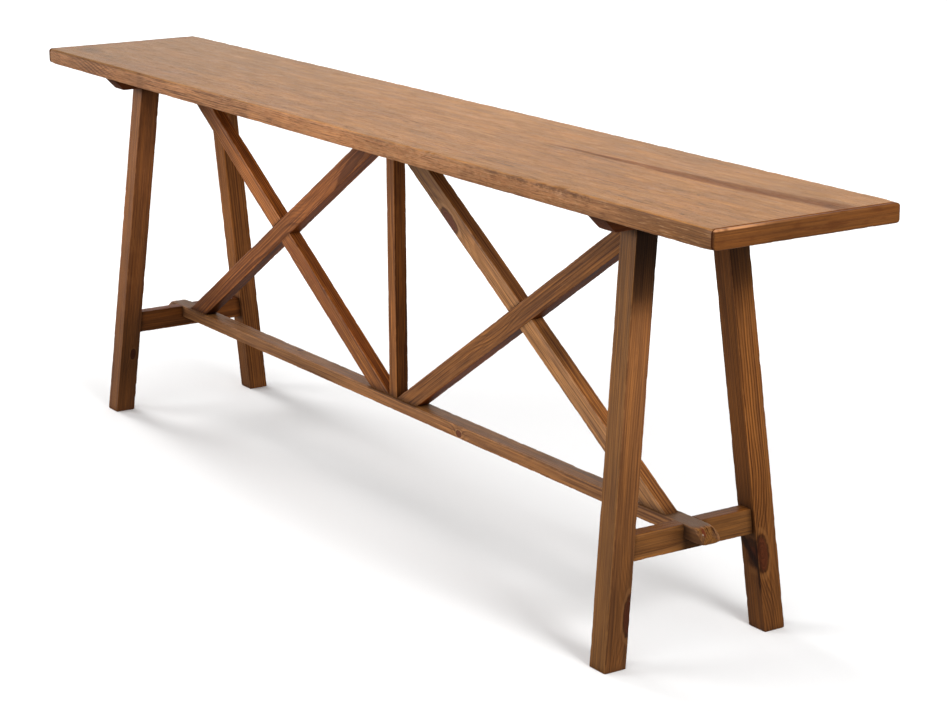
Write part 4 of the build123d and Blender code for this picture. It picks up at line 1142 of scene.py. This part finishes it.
# foot x, head x, which half goes at the crossing
BRACES = {
    "right_rising": (FOOT_IN, OUT_HEAD, "back"),
    "right_falling": (OUT_FOOT, HEAD_IN, "front"),
    "left_rising": (-OUT_FOOT, -HEAD_IN - DRIFT, "back"),
    "left_falling": (-FOOT_IN, -OUT_HEAD, "front"),
}
PARTNER = {"right_rising": "right_falling", "right_falling": "right_rising",
           "left_rising": "left_falling", "left_falling": "left_rising"}
BRACE_LOOKS = {
    "right_rising": dict(tone=(0.61, 0.5, 0.41), pith=(-46.0, -8.0), tilt=(0.006, 0.004), ring=7.6, late=1.0, seed=21.1, red=0.25,
                         knots=[(386, 12, -13, 13, "b", 2.0, True)]),
    "right_falling": dict(tone=(0.83, 0.75, 0.62), pith=(10.0, 44.0), tilt=(-0.006, 0.01), ring=4.4, late=0.5, seed=22.7, red=0.1,
                          knots=[(753, -11, -13, 11.8, "b", 2.6)]),
    "left_rising": dict(tone=(0.72, 0.51, 0.39), pith=(-30.0, 26.0), tilt=(0.03, 0.006), ring=3.4, late=0.9, seed=23.9, red=0.4,
                        knots=[(617, 8, -13, 12, "b", 2.0, True), (705, 18, -13, 10, "b", 2.6, True)]),
    "left_falling": dict(tone=(0.9, 0.62, 0.41), pith=(34.0, 20.0), tilt=(-0.004, 0.01), ring=3.9, late=1.0, seed=24.3, red=0.6,
                         knots=[(362, -3, -13, 10, "b", 2.0, True)]),
}


def axis_of(xf, xh):
    v = np.array([xh - xf, 0.0, RISE])
    return v / np.linalg.norm(v)


for name, (xf, xh, cut) in BRACES.items():
    look = BRACE_LOOKS[name]
    L = axis_of(xf, xh)
    if L[0] > 0:
        A = np.array([-L[2], 0.0, L[0]])
    else:
        A = np.array([L[2], 0.0, -L[0]])
    mem = Member("brace_wood_" + name, (xf, 0, S_TOP), L, A, (0, 1, 0))
    pf, ph, _ = BRACES[PARTNER[name]]
    M2 = axis_of(pf, ph)
    # where the two middle lines cross, measured along this one
    m = np.array([[L[0], -M2[0]], [L[2], -M2[2]]])
    sc = float(np.linalg.solve(m, np.array([pf - xf, 0.0]))[0])
    sinphi = abs(L[0] * M2[2] - L[2] * M2[0])
    hl = BRACE_W / 2 / sinphi
    k_lap = float(M2 @ L) / float(M2 @ A)
    level_dir = np.array([1.0, 0, 0])
    k_end = float(level_dir @ L) / float(level_dir @ A)
    length = RISE / L[2]
    over = 0.35 / L[2]
    keys = [(-over, k_end, 0, 0, None), (sc - hl, k_lap, 0, 0, None), (sc - hl, k_lap, 0, 0, cut),
            (sc + hl, k_lap, 0, 0, cut), (sc + hl, k_lap, 0, 0, None), (length + over, k_end, 0, 0, None)]
    sweep(mem, (BRACE_W / 2, BRACE_T / 2), (1.5,) * 4, keys, 8.0, 4.0, 200 + int(look["seed"] * 10),
          wave=0.25, dent=0.7)
    if cut == "front":
        c = mem.O + L * sc
        bore(mem.ob, [(c[0], BRACE_T / 2 - 0.5, c[2])], (0, 1, 0))
    mt = pine("pine_brace_" + name, (BRACE_W / 2, BRACE_T / 2), look["pith"], tilt=look["tilt"],
              ring=look["ring"], seed=look["seed"], late=look["late"], red=look["red"], knots=look["knots"],
              axis=tuple(L), flecks=0.35, wear_w=2.6, wander=4.0, wear=0.6,
              streak=0.75, mottle=0.40, tone=look["tone"], shade=painted_light_along_of("brace_" + name, (BRACE_W / 2, BRACE_T / 2)))

    def brace_grime(P, Q, sc=sc, hl=hl, k=k_lap, cut=cut):
        z = P[:, 2]
        out = np.maximum(0.75 * np.exp(-(((z - S_TOP) / 8) ** 2)), 0.8 * np.exp(-(((RAIL_UNDER - z) / 9) ** 2)))
        d = np.abs(np.abs(Q[:, 0] - k * Q[:, 1] - sc) - hl)
        shown = Q[:, 2] > -12.4 if cut == "back" else np.abs(Q[:, 2]) < 50
        if cut == "front":
            shown = Q[:, 2] < 12.4
        return np.maximum(out, 0.45 * shown * np.exp(-((d / 2.6) ** 2)))

    finish_piece(mem, mt, "brace_" + name, brace_grime)

# ------------------------------------------------------------------
# fixings keep their CAD shapes and get finished surfaces
# ------------------------------------------------------------------
def zinc():
    mat = bpy.data.materials.new("zinc_screw")
    g = Graph(mat)
    tc = V(g, g.node("ShaderNodeTexCoord").outputs["Object"])
    x, y, z = g.split(tc)
    n1 = g.noise(g.vec(x * 900.0, y * 900.0, z * 900.0), 3.0, 0.6)
    n2 = g.noise(g.vec(x * 3500.0, y * 3500.0, z * 350.0), 2.0, 0.6)
    col = g.mix(g.smooth(n1, 0.45, 0.7), (0.55, 0.53, 0.49), (0.24, 0.19, 0.13))
    col = g.gain(col, (n2 - 0.5) * 0.4 + 1.0)
    b = g.node("ShaderNodeBsdfPrincipled")
    g.put(b.inputs["Base Color"], col)
    b.inputs["Metallic"].default_value = 1.0
    g.put(b.inputs["Roughness"], n1 * 0.35 + 0.22)
    bump = g.node("ShaderNodeBump")
    bump.inputs["Strength"].default_value = 0.4
    bump.inputs["Distance"].default_value = 0.0001
    g.put(bump.inputs["Height"], n2)
    g.t.links.new(bump.outputs["Normal"], b.inputs["Normal"])
    out = g.node("ShaderNodeOutputMaterial")
    g.t.links.new(b.outputs[0], out.inputs[0])
    return mat


def beech():
    mat = bpy.data.materials.new("beech_dowel")
    g = Graph(mat)
    tc = V(g, g.node("ShaderNodeTexCoord").outputs["Object"])
    x, y, z = g.split(tc)
    n1 = g.noise(g.vec(x * 300.0, y * 700.0, z * 300.0), 3.0, 0.6)
    n2 = g.noise(g.vec(x * 60.0, y * 900.0, z * 900.0), 2.0, 0.6)
    col = g.mix(g.smooth(n1, 0.4, 0.7), (0.56, 0.37, 0.22), (0.40, 0.24, 0.13))
    col = g.mix(g.smooth(n2, 0.60, 0.72) * 0.6, col, (0.24, 0.13, 0.07))
    b = g.node("ShaderNodeBsdfPrincipled")
    g.put(b.inputs["Base Color"], col)
    g.put(b.inputs["Roughness"], n1 * 0.2 + 0.5)
    bump = g.node("ShaderNodeBump")
    bump.inputs["Strength"].default_value = 0.3
    bump.inputs["Distance"].default_value = 0.0002
    g.put(bump.inputs["Height"], n2)
    g.t.links.new(bump.outputs["Normal"], b.inputs["Normal"])
    out = g.node("ShaderNodeOutputMaterial")
    g.t.links.new(b.outputs[0], out.inputs[0])
    return mat


zinc_mat, beech_mat = zinc(), beech()
for n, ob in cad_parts.items():
    want = zinc_mat if n.endswith("screws") else beech_mat if n.endswith("dowels") else None
    if want is not None:
        for slot in ob.material_slots:
            slot.material = want
        if not ob.material_slots:
            ob.data.materials.append(want)

# ------------------------------------------------------------------
# floor, lights, camera
# ------------------------------------------------------------------
bm = bmesh.new()
R = 60.0
ringv = [bm.verts.new((R * cos(t), R * sin(t), 0.0)) for t in (2 * pi * k / 64 for k in range(64))]
bm.faces.new(ringv)
fm = bpy.data.meshes.new("floor")
bm.to_mesh(fm)
bm.free()
floor = bpy.data.objects.new("floor", fm)
bpy.context.scene.collection.objects.link(floor)
mat = bpy.data.materials.new("pale_floor")
g = Graph(mat)
b = g.node("ShaderNodeBsdfPrincipled")
b.inputs["Base Color"].default_value = (0.97, 0.97, 0.97, 1.0)
b.inputs["Roughness"].default_value = 0.9
b.inputs["Specular IOR Level"].default_value = 0.0
# painted light: the sweep glows a little away from the table, so the floor there stays white as a studio floor does
fx, fy, fz = g.split(V(g, g.node("ShaderNodeTexCoord").outputs["Object"]))
far = g.sqrt((fx / 1.9) * (fx / 1.9) + (fy / 1.1) * (fy / 1.1))
b.inputs["Emission Color"].default_value = (1.0, 1.0, 1.0, 1.0)
g.put(b.inputs["Emission Strength"], g.smooth(far, 0.8, 1.5) * 0.25)
o = g.node("ShaderNodeOutputMaterial")
g.t.links.new(b.outputs[0], o.inputs[0])
fm.materials.append(mat)
floor.visible_diffuse = False
floor.visible_glossy = False

world = bpy.data.worlds.new("studio")
bpy.context.scene.world = world
world.use_nodes = True
nt = world.node_tree
nt.nodes.clear()
tc = nt.nodes.new("ShaderNodeTexCoord")
sep = nt.nodes.new("ShaderNodeSeparateXYZ")
half_z = nt.nodes.new("ShaderNodeMapRange")
half_z.inputs["From Min"].default_value = -1.0
ramp = nt.nodes.new("ShaderNodeValToRGB")
for k, (place, grey) in enumerate(((0.0, 0.96), (0.325, 0.0), (0.5, 0.99), (0.675, 0.48), (1.0, 0.0))):
    el = ramp.color_ramp.elements[k] if k < 2 else ramp.color_ramp.elements.new(place)
    el.position, el.color = place, (grey, grey, grey, 1.0)
bg = nt.nodes.new("ShaderNodeBackground")
wo = nt.nodes.new("ShaderNodeOutputWorld")
nt.links.new(tc.outputs["Generated"], sep.inputs[0])
nt.links.new(sep.outputs["Z"], half_z.inputs["Value"])
nt.links.new(half_z.outputs[0], ramp.inputs["Fac"])
bg.inputs["Color"].default_value = (1.0, 1.0, 1.0, 1.0)
nt.links.new(ramp.outputs[0], bg.inputs["Strength"])
nt.links.new(bg.outputs[0], wo.inputs[0])


def sun(name, strength, angle, direction):
    d = bpy.data.lights.new(name, "SUN")
    d.energy, d.angle = strength, radians(angle)
    ob = bpy.data.objects.new(name, d)
    ob.rotation_euler = Vector(direction).to_track_quat("-Z", "Y").to_euler()
    bpy.context.scene.collection.objects.link(ob)
    return ob


def softbox(name, power, place, aim, size):
    d = bpy.data.lights.new(name, "AREA")
    d.energy, d.shape, d.size, d.size_y = power, "RECTANGLE", size[0], size[1]
    ob = bpy.data.objects.new(name, d)
    ob.location = place
    ob.rotation_euler = (Vector(aim) - Vector(place)).to_track_quat("-Z", "Y").to_euler()
    bpy.context.scene.collection.objects.link(ob)
    return ob


def toward(azimuth, elevation):
    # the way light falls that comes from this bearing and height, degrees
    az, el = radians(azimuth), radians(elevation)
    return (-cos(az) * cos(el), -sin(az) * cos(el), -sin(el))


sun("front_low", 2.57, 40.0, toward(-130, 10))
sun("front_right", 0.85, 60.0, toward(-60, 30))
sun("right_end", 0.84, 20.0, toward(-2, 24.7)).visible_glossy = False
sun("left_end", 1.01, 20.0, toward(182, 24.7)).visible_glossy = False
sun("overhead", 0.13, 30.0, (0, 0, -1))
softbox("right_panel", 16.2, (2.35, -0.12, 1.25), (0.95, 0, 0.6), (0.5, 0.5)).visible_glossy = False
softbox("left_panel", 11.9, (-2.35, -0.12, 1.25), (-0.95, 0, 0.6), (0.5, 0.5)).visible_glossy = False
softbox("overhead_strip", 16.0, (0, 0, 2.8), (0, 0, 0), (2.6, 0.5))
softbox("back_sheen", 76.0, (-6.0, 5.2, 2.6), (0, 0, 0.8), (7.0, 3.4))

# camera
AZ, EL, ROLL = radians(56.88906), radians(14.92807), radians(-0.31737)
fw = Vector((-sin(AZ) * cos(EL), cos(AZ) * cos(EL), -sin(EL)))
right = Vector((cos(AZ), sin(AZ), 0.0))
up = right.cross(fw)
r2 = right * cos(ROLL) + up * sin(ROLL)
u2 = up * cos(ROLL) - right * sin(ROLL)
cam_data = bpy.data.cameras.new("camera")
cam_data.sensor_fit = "HORIZONTAL"
cam_data.sensor_width = 36.0
cam_data.lens = 2451.99 * 36.0 / 950.0
cam_data.clip_end = 200.0
cam = bpy.data.objects.new("camera", cam_data)
cam.matrix_world = Matrix((
    (r2.x, u2.x, -fw.x, 4.04019),
    (r2.y, u2.y, -fw.y, -2.45246),
    (r2.z, u2.z, -fw.z, 1.56649),
    (0, 0, 0, 1),
))
bpy.context.scene.collection.objects.link(cam)
bpy.context.scene.camera = cam
vs = bpy.context.scene.view_settings
vs.view_transform = "Standard"
vs.look = "None"
vs.exposure = 0.0
vs.gamma = 1.0

bpy.context.view_layer.update()
